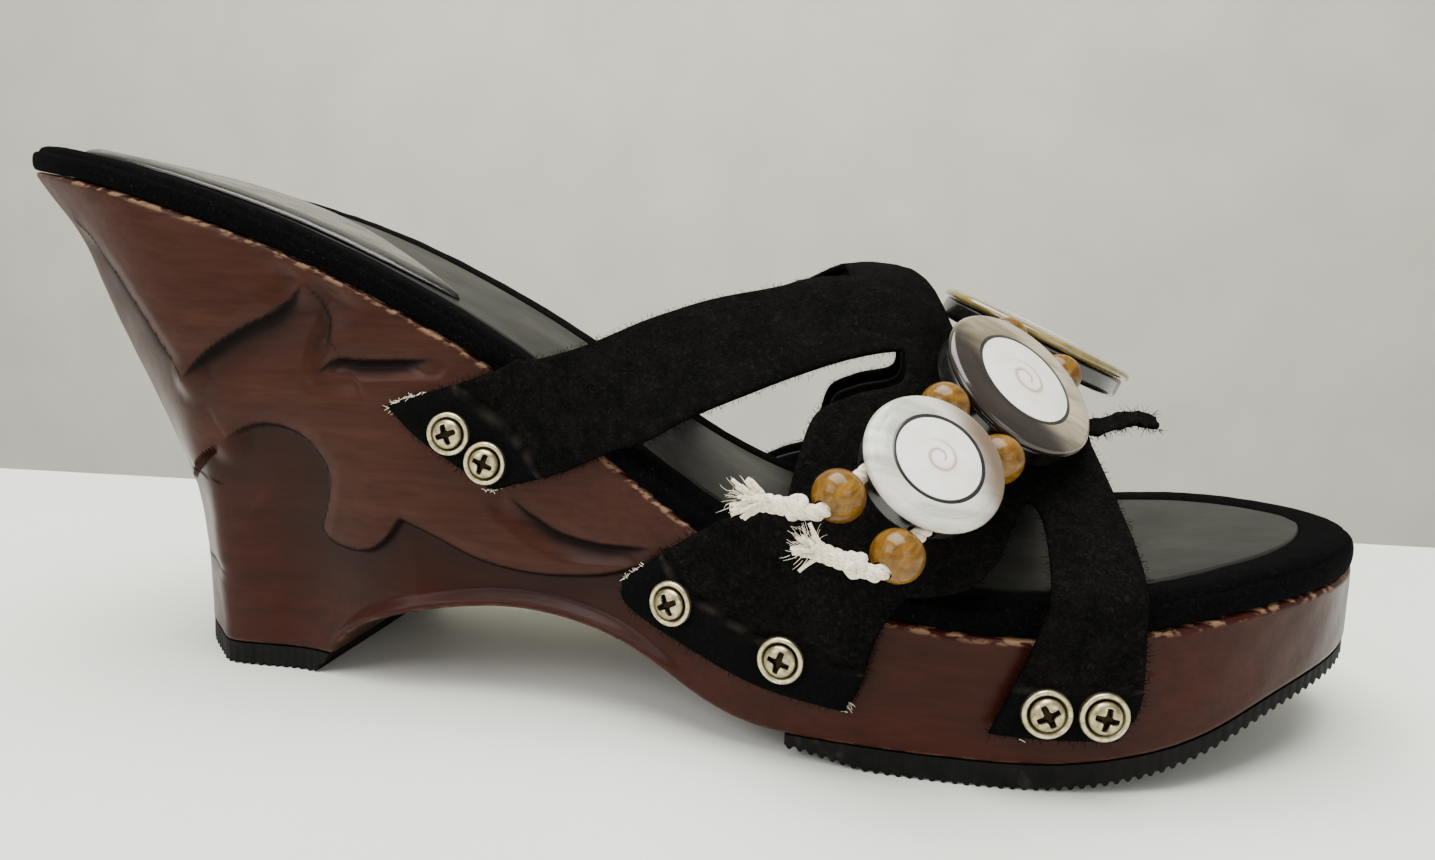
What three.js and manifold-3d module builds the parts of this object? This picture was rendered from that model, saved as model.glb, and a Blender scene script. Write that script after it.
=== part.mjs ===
// Carved wooden wedge clog for a right foot: a wooden platform with a padded footbed, rubber
// soles, a suede upper screwed to both sides, and three shell medallions strung on two cords.
// Millimetres. +X points to the toe, +Y to the inner side of the foot, +Z up, ground at Z = 0.
import * as THREE from 'three';
import { mergeVertices } from 'three/addons/utils/BufferGeometryUtils.js';
import Module from 'manifold-3d';

const wasm = await Module();
wasm.setup();

// ---------------------------------------------------------------- driving sizes
const SHOE_LENGTH = 243;
const BALL_WIDTH = 87;
const HEEL_HEIGHT = 87.5;
const SOLE_THICKNESS = 3.8;
const LIFT_THICKNESS = 4;
const FOAM_THICKNESS = 3;
const RAND_HEIGHT = 4.6;
const RAND_WALL = 2.6;
const RAND_WIDTH = 8;
const LEATHER_THICKNESS = 1;
const GEL_THICKNESS = 1.5;
const LINING_THICKNESS = 0.8;
const SUEDE_THICKNESS = 1.2;
const WASHER_RADIUS = 3.5;
const WASHER_HEIGHT = 1.1;
const SCREW_HEAD_RADIUS = 2.4;
const SCREW_SHANK_RADIUS = 1.2;
const SCREW_LENGTH = 11;
const BEAD_RADIUS = 3.6;
const CORD_RADIUS = 1.1;
const CORD_SPACING = 10.5;
const TAIL_LENGTH = 8;
const TIE_WIDTH = 4.4;
const TIE_THICKNESS = 1.4;
const MEDALLION_RADII = [10.15, 13.15, 18.1];
const SHELL_THICKNESS = 1.6;
const BACKING_THICKNESS = 3.6;
const GAP = 0.3;

// The outlines below are drawn for the nominal shoe and stretched to the driving sizes.
const NOMINAL = { length: 243, ball: 87, heel: 87.5 };
const sx = SHOE_LENGTH / NOMINAL.length;
const sy = BALL_WIDTH / NOMINAL.ball;
const sz = HEEL_HEIGHT / NOMINAL.heel;
const HALF = SHOE_LENGTH / 2;
const TOE_POINT_Y = 6 * sy;

// ---------------------------------------------------------------- small mathematics
// Natural cubic spline through [x, y] knots, held constant past its ends.
function spline(knots, scaleX = 1, scaleY = 1) {
  const x = knots.map((k) => k[0] * scaleX);
  const y = knots.map((k) => k[1] * scaleY);
  const last = knots.length - 1;
  const bend = new Array(last + 1).fill(0);
  const carry = new Array(last + 1).fill(0);
  for (let i = 1; i < last; i++) {
    const before = x[i] - x[i - 1];
    const after = x[i + 1] - x[i];
    const share = before / (before + after);
    const pivot = share * bend[i - 1] + 2;
    const turn = (y[i + 1] - y[i]) / after - (y[i] - y[i - 1]) / before;
    bend[i] = (share - 1) / pivot;
    carry[i] = ((6 * turn) / (before + after) - share * carry[i - 1]) / pivot;
  }
  for (let i = last - 1; i > 0; i--) bend[i] = bend[i] * bend[i + 1] + carry[i];
  bend[0] = 0;
  return (at) => {
    const q = Math.min(Math.max(at, x[0]), x[last]);
    let i = 0;
    while (i < last - 1 && q > x[i + 1]) i++;
    const h = x[i + 1] - x[i];
    const a = (x[i + 1] - q) / h;
    const b = (q - x[i]) / h;
    return a * y[i] + b * y[i + 1] + (((a ** 3 - a) * bend[i] + (b ** 3 - b) * bend[i + 1]) * h * h) / 6;
  };
}

function smooth(low, high, at) {
  const t = Math.min(Math.max((at - low) / (high - low), 0), 1);
  return t * t * (3 - 2 * t);
}

// ---------------------------------------------------------------- solids
function geometryOf(vertices, triangles) {
  const geometry = new THREE.BufferGeometry();
  geometry.setAttribute('position', new THREE.Float32BufferAttribute(vertices, 3));
  geometry.setIndex(triangles);
  return geometry;
}

function solid(geometry, matrix) {
  const bare = new THREE.BufferGeometry();
  bare.setAttribute('position', geometry.getAttribute('position').clone());
  if (geometry.index) bare.setIndex(geometry.index.clone());
  if (matrix) bare.applyMatrix4(matrix);
  const merged = mergeVertices(bare, 1e-4);
  const index = merged.index.array;
  const kept = [];
  for (let i = 0; i < index.length; i += 3) {
    const [a, b, c] = [index[i], index[i + 1], index[i + 2]];
    if (a !== b && b !== c && a !== c) kept.push(a, b, c);
  }
  const mesh = new wasm.Mesh({
    numProp: 3,
    vertProperties: new Float32Array(merged.getAttribute('position').array),
    triVerts: new Uint32Array(kept),
  });
  return new wasm.Manifold(mesh);
}

function geometryFrom(body) {
  const mesh = body.getMesh();
  return geometryOf(Array.from(mesh.vertProperties), Array.from(mesh.triVerts));
}

const clog = new THREE.Group();

function addPiece(name, geometry, look) {
  const bare = geometry.index ? geometry.toNonIndexed() : geometry;
  bare.computeVertexNormals();
  const mesh = new THREE.Mesh(bare, new THREE.MeshStandardMaterial(look));
  mesh.name = name;
  clog.add(mesh);
}

function addSolid(name, body, look) {
  addPiece(name, geometryFrom(body), look);
}

// Matrix that stands a shape on point with its +Z along facing and its +X near the toe line.
function standing(point, facing) {
  const z = facing.clone().normalize();
  const x = new THREE.Vector3(1, 0, 0).addScaledVector(z, -z.x).normalize();
  const y = new THREE.Vector3().crossVectors(z, x);
  return new THREE.Matrix4().makeBasis(x, y, z).setPosition(point);
}

// Solid of revolution about Z from [radius, height] pairs listed from the foot to the top.
function turned(profile, segments) {
  const points = profile.map(([radius, height]) => new THREE.Vector2(radius, height));
  return new THREE.LatheGeometry(points, segments).rotateX(Math.PI / 2);
}

function rod(from, to, radius, segments) {
  const along = new THREE.Vector3().subVectors(to, from);
  const profile = [[0, 0], [radius, 0], [radius, along.length()], [0, along.length()]];
  return solid(turned(profile, segments), standing(from, along));
}

// ---------------------------------------------------------------- shape of the platform
// Half widths are read against the angle that runs from the heel point (0) to the toe point (PI),
// so that both ends come out round.
const angleAt = (x) => Math.acos(Math.min(Math.max(-x / HALF, -1), 1));
const byAngle = (knots) => spline(knots.map(([x, y]) => [angleAt(x * sx), y * sy]));
const lateralHalf = byAngle([
  [-121.5, 0], [-117, 14], [-104, 24.5], [-88, 29.5], [-60, 30.5], [-30, 29.5], [-5, 31],
  [15, 37], [40, 42.5], [60, 43.5], [80, 40.8], [98, 32], [112, 18.5], [119, 5.5], [121.5, -6],
]);
const medialHalf = byAngle([
  [-121.5, 0], [-117, 14], [-104, 24], [-88, 29], [-60, 28.5], [-30, 27], [-10, 28],
  [10, 32], [30, 38], [50, 42.5], [66, 43.5], [90, 40], [108, 31], [117, 20.5], [121.5, 6],
]);
const halfWidth = (x, side) => (side < 0 ? lateralHalf : medialHalf)(angleAt(x));
const topHeight = spline([
  [-121.5, 87.5], [-100, 84.6], [-80, 80], [-60, 73.7], [-40, 65], [-20, 54], [0, 40.5],
  [15, 31.8], [28, 26.4], [42, 23.2], [58, 22], [72, 22.9], [88, 25.4], [105, 27.5], [121.5, 28.5],
], sx, sz);
const heelShift = spline([
  [4, 32.8], [21, 32.3], [31, 30.8], [37, 28.8], [51, 22.3], [66, 14], [78, 7], [87.5, 0],
], sz, sx);
const ARCH = {
  front: 32 * sx,
  back: -53 * sx,
  height: spline([
    [-53, 4], [-51, 6.4], [-43, 11.8], [-31, 15], [-19, 16.2], [-5, 14.6], [3, 12.2], [9, 9.4], [15, 6.5],
    [21, 4.6], [27, 3.9], [32, 3.8],
  ], sx),
};
const toeSpring = spline([
  [58, 0], [68, 0.5], [75, 1.5], [83, 3.2], [90, 5.6], [97, 8.6], [108, 11.6], [121.5, 13],
], sx);
const SHIFT_END = -60 * sx;

function undersideHeight(x) {
  if (x < ARCH.back) return LIFT_THICKNESS;
  if (x < ARCH.front) return ARCH.height(x);
  return SOLE_THICKNESS + (x > 58 * sx ? toeSpring(x) : 0);
}

// Plan point of the platform's wall: station x0 slides forward low on the undercut heel.
function wallX(x0, z) {
  return x0 + heelShift(z) * smooth(SHIFT_END, -HALF, x0);
}

function topOf(x0) {
  let z = topHeight(x0);
  for (let pass = 0; pass < 6; pass++) z = topHeight(wallX(x0, z));
  return z;
}

function undersideOf(x0) {
  let z = undersideHeight(x0);
  for (let pass = 0; pass < 12; pass++) z = 0.5 * (z + undersideHeight(wallX(x0, z)));
  return z;
}

// Carved relief of the heel, as a depth cut inward at a point of the side wall.
// Each step is a line of [x, z] knots; the wood is cut away on the line's right-hand side.
const CARVED_STEPS = [
  { depth: 1.6, fade: 16, line: [[-100.7, 77.1], [-93.3, 70.7], [-85.6, 62.5], [-80.1, 56.1], [-76.5, 51.5]] },
  { depth: 1.7, fade: 14, line: [[-76.5, 51.5], [-71.7, 56.1], [-65.1, 60.3], [-59.7, 63.1], [-53.9, 68.3]] },
  { depth: 1.5, fade: 12, line: [[-53.9, 68.3], [-51.4, 65.4], [-49.7, 62.2], [-49.4, 58.2], [-48, 56.6]] },
  {
    depth: 2,
    fade: 20,
    line: [
      [-70.2, 41.4], [-64.6, 43.8], [-60, 44.3], [-54.8, 42.3], [-51.7, 38.2], [-50.8, 34.1], [-51.8, 29.8],
      [-53.2, 27.2], [-52.3, 25.2], [-48.8, 24], [-44.5, 24.1], [-41, 25.7], [-38.9, 28.5], [-37.9, 30.2],
      [-32.4, 27.6], [-23.6, 24.1], [-14.9, 22.7], [-6.4, 22.8], [0.6, 24.4], [5.6, 27.2],
    ],
  },
];
const STEP_EDGE = 1.2;

function stepDepth(step, x, z) {
  let nearest = Infinity;
  let signed = 0;
  for (let i = 0; i + 1 < step.line.length; i++) {
    const [ax, az] = step.line[i];
    const [bx, bz] = step.line[i + 1];
    const [dx, dz] = [bx - ax, bz - az];
    const along = Math.min(Math.max(((x - ax) * dx + (z - az) * dz) / (dx * dx + dz * dz), 0), 1);
    const distance = Math.hypot(x - ax - along * dx, z - az - along * dz);
    if (distance < nearest) {
      nearest = distance;
      signed = Math.sign((x - ax) * dz - (z - az) * dx) * distance;
    }
  }
  return step.depth * smooth(0, STEP_EDGE, signed) * (1 - smooth(STEP_EDGE, step.fade, signed));
}

function carvedDepth(x, z, top, underside) {
  const deepest = Math.max(...CARVED_STEPS.map((step) => stepDepth(step, x / sx, z / sz)));
  return deepest * smooth(1, 4, top - z) * smooth(0.5, 3, z - underside);
}

// Stations along the shoe, close together at both ends; the first and last are single points.
function stations(count) {
  const list = [];
  for (let k = 0; k <= count; k++) list.push(-HALF * Math.cos((Math.PI * k) / count));
  return list;
}

// Ring of station/side pairs around the plan: along the outer side to the toe, back on the inner.
function ringOf(xs) {
  const ring = xs.map((x0) => ({ x0, side: -1 }));
  for (let k = xs.length - 2; k > 0; k--) ring.push({ x0: xs[k], side: 1 });
  return ring;
}

// The heel block narrows towards the ground.
const HEEL_TAPER = 0.24;

function planPoint({ x0, side }, z) {
  const taper = HEEL_TAPER * (1 - smooth(0, 62 * sz, z)) * smooth(-36 * sx, -62 * sx, x0);
  return new THREE.Vector2(wallX(x0, z), side * halfWidth(x0, side) * (1 - taper));
}

// Closes a stack of equal rings into a solid; each cap is a ladder across the shoe.
function loft(rings) {
  const count = rings[0].length;
  const vertices = rings.flat().flatMap((p) => [p.x, p.y, p.z]);
  const triangles = [];
  for (let level = 0; level + 1 < rings.length; level++) {
    for (let i = 0; i < count; i++) {
      const a = level * count + i;
      const b = level * count + ((i + 1) % count);
      triangles.push(a, b, b + count, a, b + count, a + count);
    }
  }
  const cap = (base, flip) => {
    for (let i = 0; i < count / 2; i++) {
      const [a, b] = [base + i, base + i + 1];
      const [c, d] = [base + ((count - i) % count), base + count - i - 1];
      const pair = flip ? [a, c, d, a, d, b] : [a, d, c, a, b, d];
      for (let k = 0; k < 6; k += 3) {
        const [p, q, r] = pair.slice(k, k + 3);
        if (p !== q && q !== r && p !== r) triangles.push(p, q, r);
      }
    }
  };
  cap(0, true);
  cap((rings.length - 1) * count, false);
  return geometryOf(vertices, triangles);
}

// ---------------------------------------------------------------- wooden platform
const WOOD_STATIONS = 52;
const WOOD_LEVELS = 11;

function woodGeometry() {
  const ring = ringOf(stations(WOOD_STATIONS));
  const rings = [];
  for (let level = 0; level <= WOOD_LEVELS; level++) {
    rings.push(ring.map((at, i) => {
      const top = topOf(at.x0);
      const underside = undersideOf(at.x0);
      const z = underside + ((top - underside) * level) / WOOD_LEVELS;
      const here = planPoint(at, z);
      const next = planPoint(ring[(i + 1) % ring.length], z);
      const before = planPoint(ring[(i + ring.length - 1) % ring.length], z);
      const inward = next.sub(before).rotateAround(new THREE.Vector2(), Math.PI / 2).normalize();
      here.addScaledVector(inward, carvedDepth(here.x, z, top, underside));
      return new THREE.Vector3(here.x, here.y, z);
    }));
  }
  return loft(rings);
}

// ---------------------------------------------------------------- footbed
// Plan ring of the top edge moved inward by inset and lifted above the wood.
function topRing(count, inset, lift) {
  const ring = ringOf(stations(count));
  const points = ring.map((at) => planPoint(at, topOf(at.x0)));
  return points.map((point, i) => {
    const next = points[(i + 1) % points.length];
    const before = points[(i + points.length - 1) % points.length];
    const inward = next.clone().sub(before).rotateAround(new THREE.Vector2(), Math.PI / 2).normalize();
    const moved = point.clone().addScaledVector(inward, inset);
    return new THREE.Vector3(moved.x, moved.y, topHeight(moved.x) + lift);
  });
}

function bedLayer(count, inset, low, high) {
  return loft([topRing(count, inset, low), topRing(count, inset, high)]);
}

// Band swept round the footbed's edge from a closed [inset, lift] section.
function randGeometry() {
  const top = RAND_HEIGHT;
  const flap = GAP + FOAM_THICKNESS + GAP;
  const section = [
    [0.4, GAP], [RAND_WALL, GAP], [RAND_WALL, flap], [RAND_WIDTH, flap],
    [RAND_WIDTH, top], [1.2, top], [0.1, top - 1.1], [0, top / 2],
  ];
  const rings = section.map(([inset, lift]) => topRing(34, inset, lift));
  const count = rings[0].length;
  const vertices = rings.flat().flatMap((p) => [p.x, p.y, p.z]);
  const triangles = [];
  for (let k = 0; k < section.length; k++) {
    const near = k * count;
    const far = ((k + 1) % section.length) * count;
    for (let i = 0; i < count; i++) {
      const j = (i + 1) % count;
      triangles.push(near + i, far + i, far + j, near + i, far + j, near + j);
    }
  }
  return geometryOf(vertices, triangles);
}

// Clear heel grip: a teardrop with its point forward on the outer side.
const GEL_ENDS = [-112 * sx, -33 * sx];
const gelAngle = (x) => {
  const t = (2 * (x - GEL_ENDS[0])) / (GEL_ENDS[1] - GEL_ENDS[0]) - 1;
  return Math.acos(Math.min(Math.max(-t, -1), 1));
};
const gelEdge = (knots) => spline(knots.map(([x, y]) => [gelAngle(x * sx), y * sy]));
const gelOuterEdge = gelEdge([[-112, -3], [-105, -14], [-90, -19.5], [-70, -21], [-50, -20.5], [-38, -18.5], [-33, -16.5]]);
const gelInnerEdge = gelEdge([[-112, -3], [-105, 7], [-90, 11], [-75, 9], [-60, 2.5], [-46, -6], [-36, -13], [-33, -16.5]]);

function gelGeometry() {
  const low = GAP + FOAM_THICKNESS + GAP + LEATHER_THICKNESS + GAP;
  const count = 22;
  const xs = [];
  for (let k = 0; k <= count; k++) {
    const t = 0.02 + (0.96 * k) / count;
    xs.push(GEL_ENDS[0] + ((GEL_ENDS[1] - GEL_ENDS[0]) * (1 - Math.cos(Math.PI * t))) / 2);
  }
  const layer = (lift) => [
    ...xs.map((x) => new THREE.Vector3(x, gelOuterEdge(gelAngle(x)), topHeight(x) + lift)),
    ...[...xs].reverse().map((x) => new THREE.Vector3(x, gelInnerEdge(gelAngle(x)), topHeight(x) + lift)),
  ];
  return ladder(layer(low), layer(low + GEL_THICKNESS));
}

// ---------------------------------------------------------------- rubber soles
const SOLE_BACK = 28 * sx;

// Toe sole: follows the underside of the forefoot, thinning to a lip up the front.
function toeSoleGeometry() {
  const xs = [];
  for (let k = 0; k <= 30; k++) {
    xs.push(SOLE_BACK + (HALF - 0.6 - SOLE_BACK) * Math.sin((Math.PI / 2) * (k / 30)));
  }
  const inset = 0.8;
  const ring = [];
  xs.forEach((x) => ring.push([x, -Math.max(halfWidth(x, -1) - inset, -TOE_POINT_Y)]));
  for (let k = xs.length - 1; k >= 0; k--) ring.push([xs[k], halfWidth(xs[k], 1) - inset]);
  const springAt = (x) => (x > 58 * sx ? toeSpring(x) : 0);
  const back = (x) => smooth(SOLE_BACK, SOLE_BACK + 14 * sx, x);
  const top = (x) => SOLE_THICKNESS - GAP + springAt(x) - 0.1;
  const foot = (x) => {
    const ground = (1 - back(x)) * (SOLE_THICKNESS - 2.2);
    const thickness = SOLE_THICKNESS - 1.2 * smooth(68 * sx, 100 * sx, x);
    return ground + SOLE_THICKNESS + springAt(x) - thickness - 0;
  };
  const low = ring.map(([x, y]) => new THREE.Vector3(x, y, x > 66 * sx ? Math.max(foot(x), 0) : foot(x)));
  const high = ring.map(([x, y]) => new THREE.Vector3(x, y, top(x)));
  return { low, high };
}

function ladder(low, high) {
  const count = low.length;
  const vertices = [...low, ...high].flatMap((p) => [p.x, p.y, p.z]);
  const triangles = [];
  for (let i = 0; i < count; i++) {
    const j = (i + 1) % count;
    triangles.push(i, j, j + count, i, j + count, i + count);
  }
  for (let i = 0; i + 1 < count / 2; i++) {
    const [a, b, c, d] = [i, i + 1, count - 1 - i, count - 2 - i];
    triangles.push(a, c, d, a, d, b);
    triangles.push(a + count, d + count, c + count, a + count, b + count, d + count);
  }
  return geometryOf(vertices, triangles);
}

function liftGeometry() {
  const back = -HALF + heelShift(LIFT_THICKNESS);
  const front = ARCH.back - 0.3 * sx;
  const low = [];
  const high = [];
  const count = 14;
  const inset = 0.5;
  const halfAt = (x, side) => {
    const x0 = stationFor(x, LIFT_THICKNESS);
    return Math.max(Math.abs(planPoint({ x0, side }, LIFT_THICKNESS).y) - inset, 0.6);
  };
  const xs = [];
  for (let k = 0; k <= count; k++) xs.push(back + inset + (front - back - inset) * (1 - Math.cos((Math.PI / 2) * (k / count))));
  const chamfer = (x) => (x >= front - 0.01 ? 3 : 0);
  xs.forEach((x) => {
    low.push(new THREE.Vector3(x - chamfer(x), -halfAt(x, -1), 0));
    high.push(new THREE.Vector3(x, -halfAt(x, -1), LIFT_THICKNESS - GAP));
  });
  [...xs].reverse().forEach((x) => {
    low.push(new THREE.Vector3(x - chamfer(x), halfAt(x, 1), 0));
    high.push(new THREE.Vector3(x, halfAt(x, 1), LIFT_THICKNESS - GAP));
  });
  return ladder(low, high);
}

// Station whose wall stands at x at height z, found by halving.
function stationFor(x, z) {
  let low = -HALF;
  let high = HALF;
  for (let pass = 0; pass < 40; pass++) {
    const middle = (low + high) / 2;
    if (wallX(middle, z) < x) low = middle;
    else high = middle;
  }
  return (low + high) / 2;
}

// ---------------------------------------------------------------- shape of the upper
// The upper lies on one surface: straight up both side walls, then an arch over the foot.
// A place on it is [x, v]: v from -1 (ground) to 0 (top of the rand) on the wall, and from
// 0 to 1 (the crest) on the arch. Above 1 it runs down the other side.
const crestHeight = spline([
  [-60, 78], [-20, 77], [20, 73.5], [30, 72.5], [37, 73], [42, 72.5], [46.5, 69.4], [50.5, 61.8],
  [54, 57.6], [58, 55.2], [63, 54], [70, 53.4], [85, 48], [110, 40],
], sx, sz);
const archPower = spline([[-40, 1.5], [34, 1.5], [54, 1.3], [75, 1.3]], sx);

function lastBase(x, v, side) {
  const across = v > 1 ? -side : side;
  const up = v > 1 ? 2 - v : v;
  const springing = topHeight(x) + RAND_HEIGHT + 0.6;
  const half = halfWidth(x, across);
  if (up <= 0) return new THREE.Vector3(x, across * half, springing * (1 + up));
  const turn = (up * Math.PI) / 2;
  const power = 2 / archPower(x);
  const out = Math.cos(turn) ** power;
  const rise = Math.sin(turn) ** power;
  return new THREE.Vector3(x, across * half * out, springing + (crestHeight(x) - springing) * rise);
}

function lastNormal(x, v, side) {
  const step = 0.01;
  const here = v > 0.97 && v < 1.03 ? 0.97 : v;
  const alongX = lastBase(x + 0.2, here, side).sub(lastBase(x - 0.2, here, side));
  const alongV = lastBase(x, here + step, side).sub(lastBase(x, here - step, side));
  const normal = new THREE.Vector3().crossVectors(alongX, alongV).normalize();
  if (side > 0) normal.negate();
  if (here !== v) {
    normal.y *= (1 - v) / 0.03;
    normal.normalize();
  }
  return normal;
}

function lastPoint(x, v, side, lift) {
  return lastBase(x, v, side).addScaledVector(lastNormal(x, v, side), lift);
}

const LINING_LIFT = GAP;
const SUEDE_LIFT = GAP + LINING_THICKNESS + GAP;
const SUEDE_TOP = SUEDE_LIFT + SUEDE_THICKNESS;

// Blank of one side's sheet, from low on the wall to past the crest.
function sheetBlank(side, low, high) {
  const columns = 21;
  const wall = [-0.9, -0.02];
  const arch = 10;
  const vs = [...wall];
  for (let k = 1; k <= arch; k++) vs.push(-0.02 + (1.36 * k) / arch);
  const vertices = [];
  for (const lift of [low, high]) {
    for (let i = 0; i <= columns; i++) {
      const x = (-42 + (124 * i) / columns) * sx;
      vs.forEach((v) => vertices.push(...lastPoint(x, v, side, lift).toArray()));
    }
  }
  const rows = vs.length;
  const sheet = (columns + 1) * rows;
  const triangles = [];
  const quad = (a, b, c, d) => triangles.push(...(side < 0 ? [a, b, c, a, c, d] : [a, c, b, a, d, c]));
  for (let i = 0; i < columns; i++) {
    for (let j = 0; j + 1 < rows; j++) {
      const a = i * rows + j;
      quad(sheet + a, sheet + a + rows, sheet + a + rows + 1, sheet + a + 1);
      quad(a, a + 1, a + rows + 1, a + rows);
    }
    const [first, final] = [i * rows, i * rows + rows - 1];
    quad(first, first + rows, sheet + first + rows, sheet + first);
    quad(final + rows, final, sheet + final, sheet + final + rows);
  }
  for (let j = 0; j + 1 < rows; j++) {
    const end = columns * rows + j;
    quad(j + 1, j, sheet + j, sheet + j + 1);
    quad(end, end + 1, sheet + end + 1, sheet + end);
  }
  return solid(geometryOf(vertices, triangles));
}

// Cut edges of the suede piece on one side, as [x, v] knots. Each edge runs on from the last.
function cutEdges(side) {
  const rearEnd = [[-38.9, -0.3], [-33, -0.35], [-21, -0.4]];
  const rearLower = [
    [-21, -0.4], [-16, -0.35], [-9, -0.23], [-1.2, -0.07], [4.4, 0.08], [13, 0.26], [20.7, 0.37],
    [27, 0.45], [34.5, 0.51], [42.6, 0.57],
  ];
  const lobe = [
    [42.6, 0.57], [42.5, 0.5], [39, 0.46], [34.8, 0.43], [29.9, 0.37], [28.3, 0.28], [28, 0.21], [27, 0.15],
  ];
  const middleUpper = [[27, 0.15], [20.7, 0.06], [14.9, -0.1], [8.6, -0.28], [2, -0.46]];
  const middleEnd = [[2, -0.46], [2.6, -0.53], [12.4, -0.59], [24.9, -0.655], [37.2, -0.67]];
  const middleFront = [[37.2, -0.67], [38.8, -0.54], [39.9, -0.38], [41.9, -0.18], [44.4, -0.03]];
  const crotch = [
    [44.4, -0.03], [51.5, 0.04], [55.4, 0.15], [58.2, 0.24], [59.5, 0.32], [61.4, 0.38], [62.9, 0.36],
    [63.6, 0.28], [63.8, 0.19], [63.3, 0.03], [62.5, -0.11], [59.7, -0.4], [56.5, -0.67],
  ];
  const frontEnd = [[56.5, -0.67], [65, -0.68], [73.5, -0.68]];
  const frontEdge = [
    [73.5, -0.68], [76.6, -0.5], [76.6, -0.2], [76.3, 0.06], [75.8, 0.24], [75, 0.34], [74.1, 0.44],
    [72.7, 0.57],
  ];
  // The two pieces meet a little to the outer side of the crest.
  const seam = side < 0
    ? [[72.7, 0.57], [71.5, 0.82], [62, 0.8], [55, 0.77], [48.5, 0.745], [41.5, 0.73], [33.8, 0.775], [25.1, 0.76]]
    : [[72.7, 0.57], [72, 0.8], [71.6, 1], [71.4, 1.11], [62, 1.125], [55, 1.15], [48.5, 1.175], [41.5, 1.18], [33.8, 1.145]];
  const rearUpper = [
    [18.9, 0.68], [9.9, 0.57], [-0.5, 0.41], [-10.9, 0.2], [-18.8, -0.04], [-27, -0.165], [-38.9, -0.3],
  ];
  const crest = side < 0 ? [[25.1, 0.76], ...rearUpper] : [[33.8, 1.145], [32, 1], [26, 0.83], ...rearUpper];
  return [rearEnd, rearLower, lobe, middleUpper, middleEnd, middleFront, crotch, frontEnd, frontEdge, seam, crest];
}

function cutOutline(side, lift) {
  const outline = [];
  cutEdges(side).forEach((knots) => {
    const edge = new THREE.SplineCurve(knots.map(([x, v]) => new THREE.Vector2(x * sx, v * 100)));
    edge.getPoints(Math.ceil(knots.length * 1.3)).slice(0, -1).forEach((p) => outline.push(lastPoint(p.x, p.y / 100, side, lift)));
  });
  return outline;
}

function distanceToOutline(point, outline) {
  const line = new THREE.Line3();
  const at = new THREE.Vector3(point.x, point.y, 0);
  return Math.min(...outline.map((p, i) => {
    const next = outline[(i + 1) % outline.length];
    line.start.set(p.x, p.y, 0);
    line.end.set(next.x, next.y, 0);
    return line.closestPointToPoint(at, true, new THREE.Vector3()).distanceTo(at);
  }));
}

// Prism that cuts a sheet to its outline, seen from above and from its own side.
function cutter(side, lift, inset) {
  const across = new THREE.Vector3(0, -side * 0.8, 0.6);
  const flat = cutOutline(side, lift).map((p) => new THREE.Vector2(p.x, p.dot(across)));
  const moved = inset === 0 ? flat : flat.map((p, i) => {
    const next = flat[(i + 1) % flat.length];
    const before = flat[(i + flat.length - 1) % flat.length];
    const inward = next.clone().sub(before).rotateAround(new THREE.Vector2(), Math.PI / 2).normalize();
    return p.clone().addScaledVector(inward, inset);
  }).filter((p) => distanceToOutline(p, flat) > 0.7 * inset);
  const prism = new THREE.ExtrudeGeometry(new THREE.Shape(moved), { depth: 260, bevelEnabled: false });
  const forward = new THREE.Vector3(1, 0, 0);
  const through = new THREE.Vector3().crossVectors(forward, across);
  return solid(prism.translate(0, 0, -130), new THREE.Matrix4().makeBasis(forward, across, through));
}

// ---------------------------------------------------------------- fastenings
const SCREW_PLACES = [
  { name: 'rear', at: [[-28, 45], [-21.8, 40.6]] },
  { name: 'middle', at: [[11, 22], [27.9, 16.3]] },
  { name: 'front', at: [[63.8, 13], [71.2, 13]] },
];

function wallFrame(x, z, side, lift) {
  const springing = topHeight(x) + RAND_HEIGHT + 0.6;
  const v = z / springing - 1;
  return standing(lastPoint(x, v, side, lift), lastNormal(x, v, side));
}

function screwSolid() {
  const seat = WASHER_HEIGHT - 0.35;
  const body = solid(turned([
    [0, -SCREW_LENGTH], [SCREW_SHANK_RADIUS, 2 - SCREW_LENGTH], [SCREW_SHANK_RADIUS, seat],
    [SCREW_HEAD_RADIUS, seat + 0.2], [SCREW_HEAD_RADIUS * 0.85, seat + 0.9], [0, seat + 1.25],
  ], 12));
  const slot = new THREE.BoxGeometry(2.6, 0.6, 1.4).translate(0, 0, seat + 1.3);
  return body.subtract(solid(slot)).subtract(solid(slot.rotateZ(Math.PI / 2)));
}

function washerGeometry() {
  const bore = SCREW_SHANK_RADIUS + GAP;
  return turned([
    [bore, 0], [WASHER_RADIUS, 0], [WASHER_RADIUS - 0.3, WASHER_HEIGHT], [WASHER_RADIUS - 0.9, WASHER_HEIGHT],
    [SCREW_HEAD_RADIUS - 0.2, WASHER_HEIGHT - 0.65], [bore, WASHER_HEIGHT - 0.65], [bore, 0],
  ], 14);
}

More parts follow.
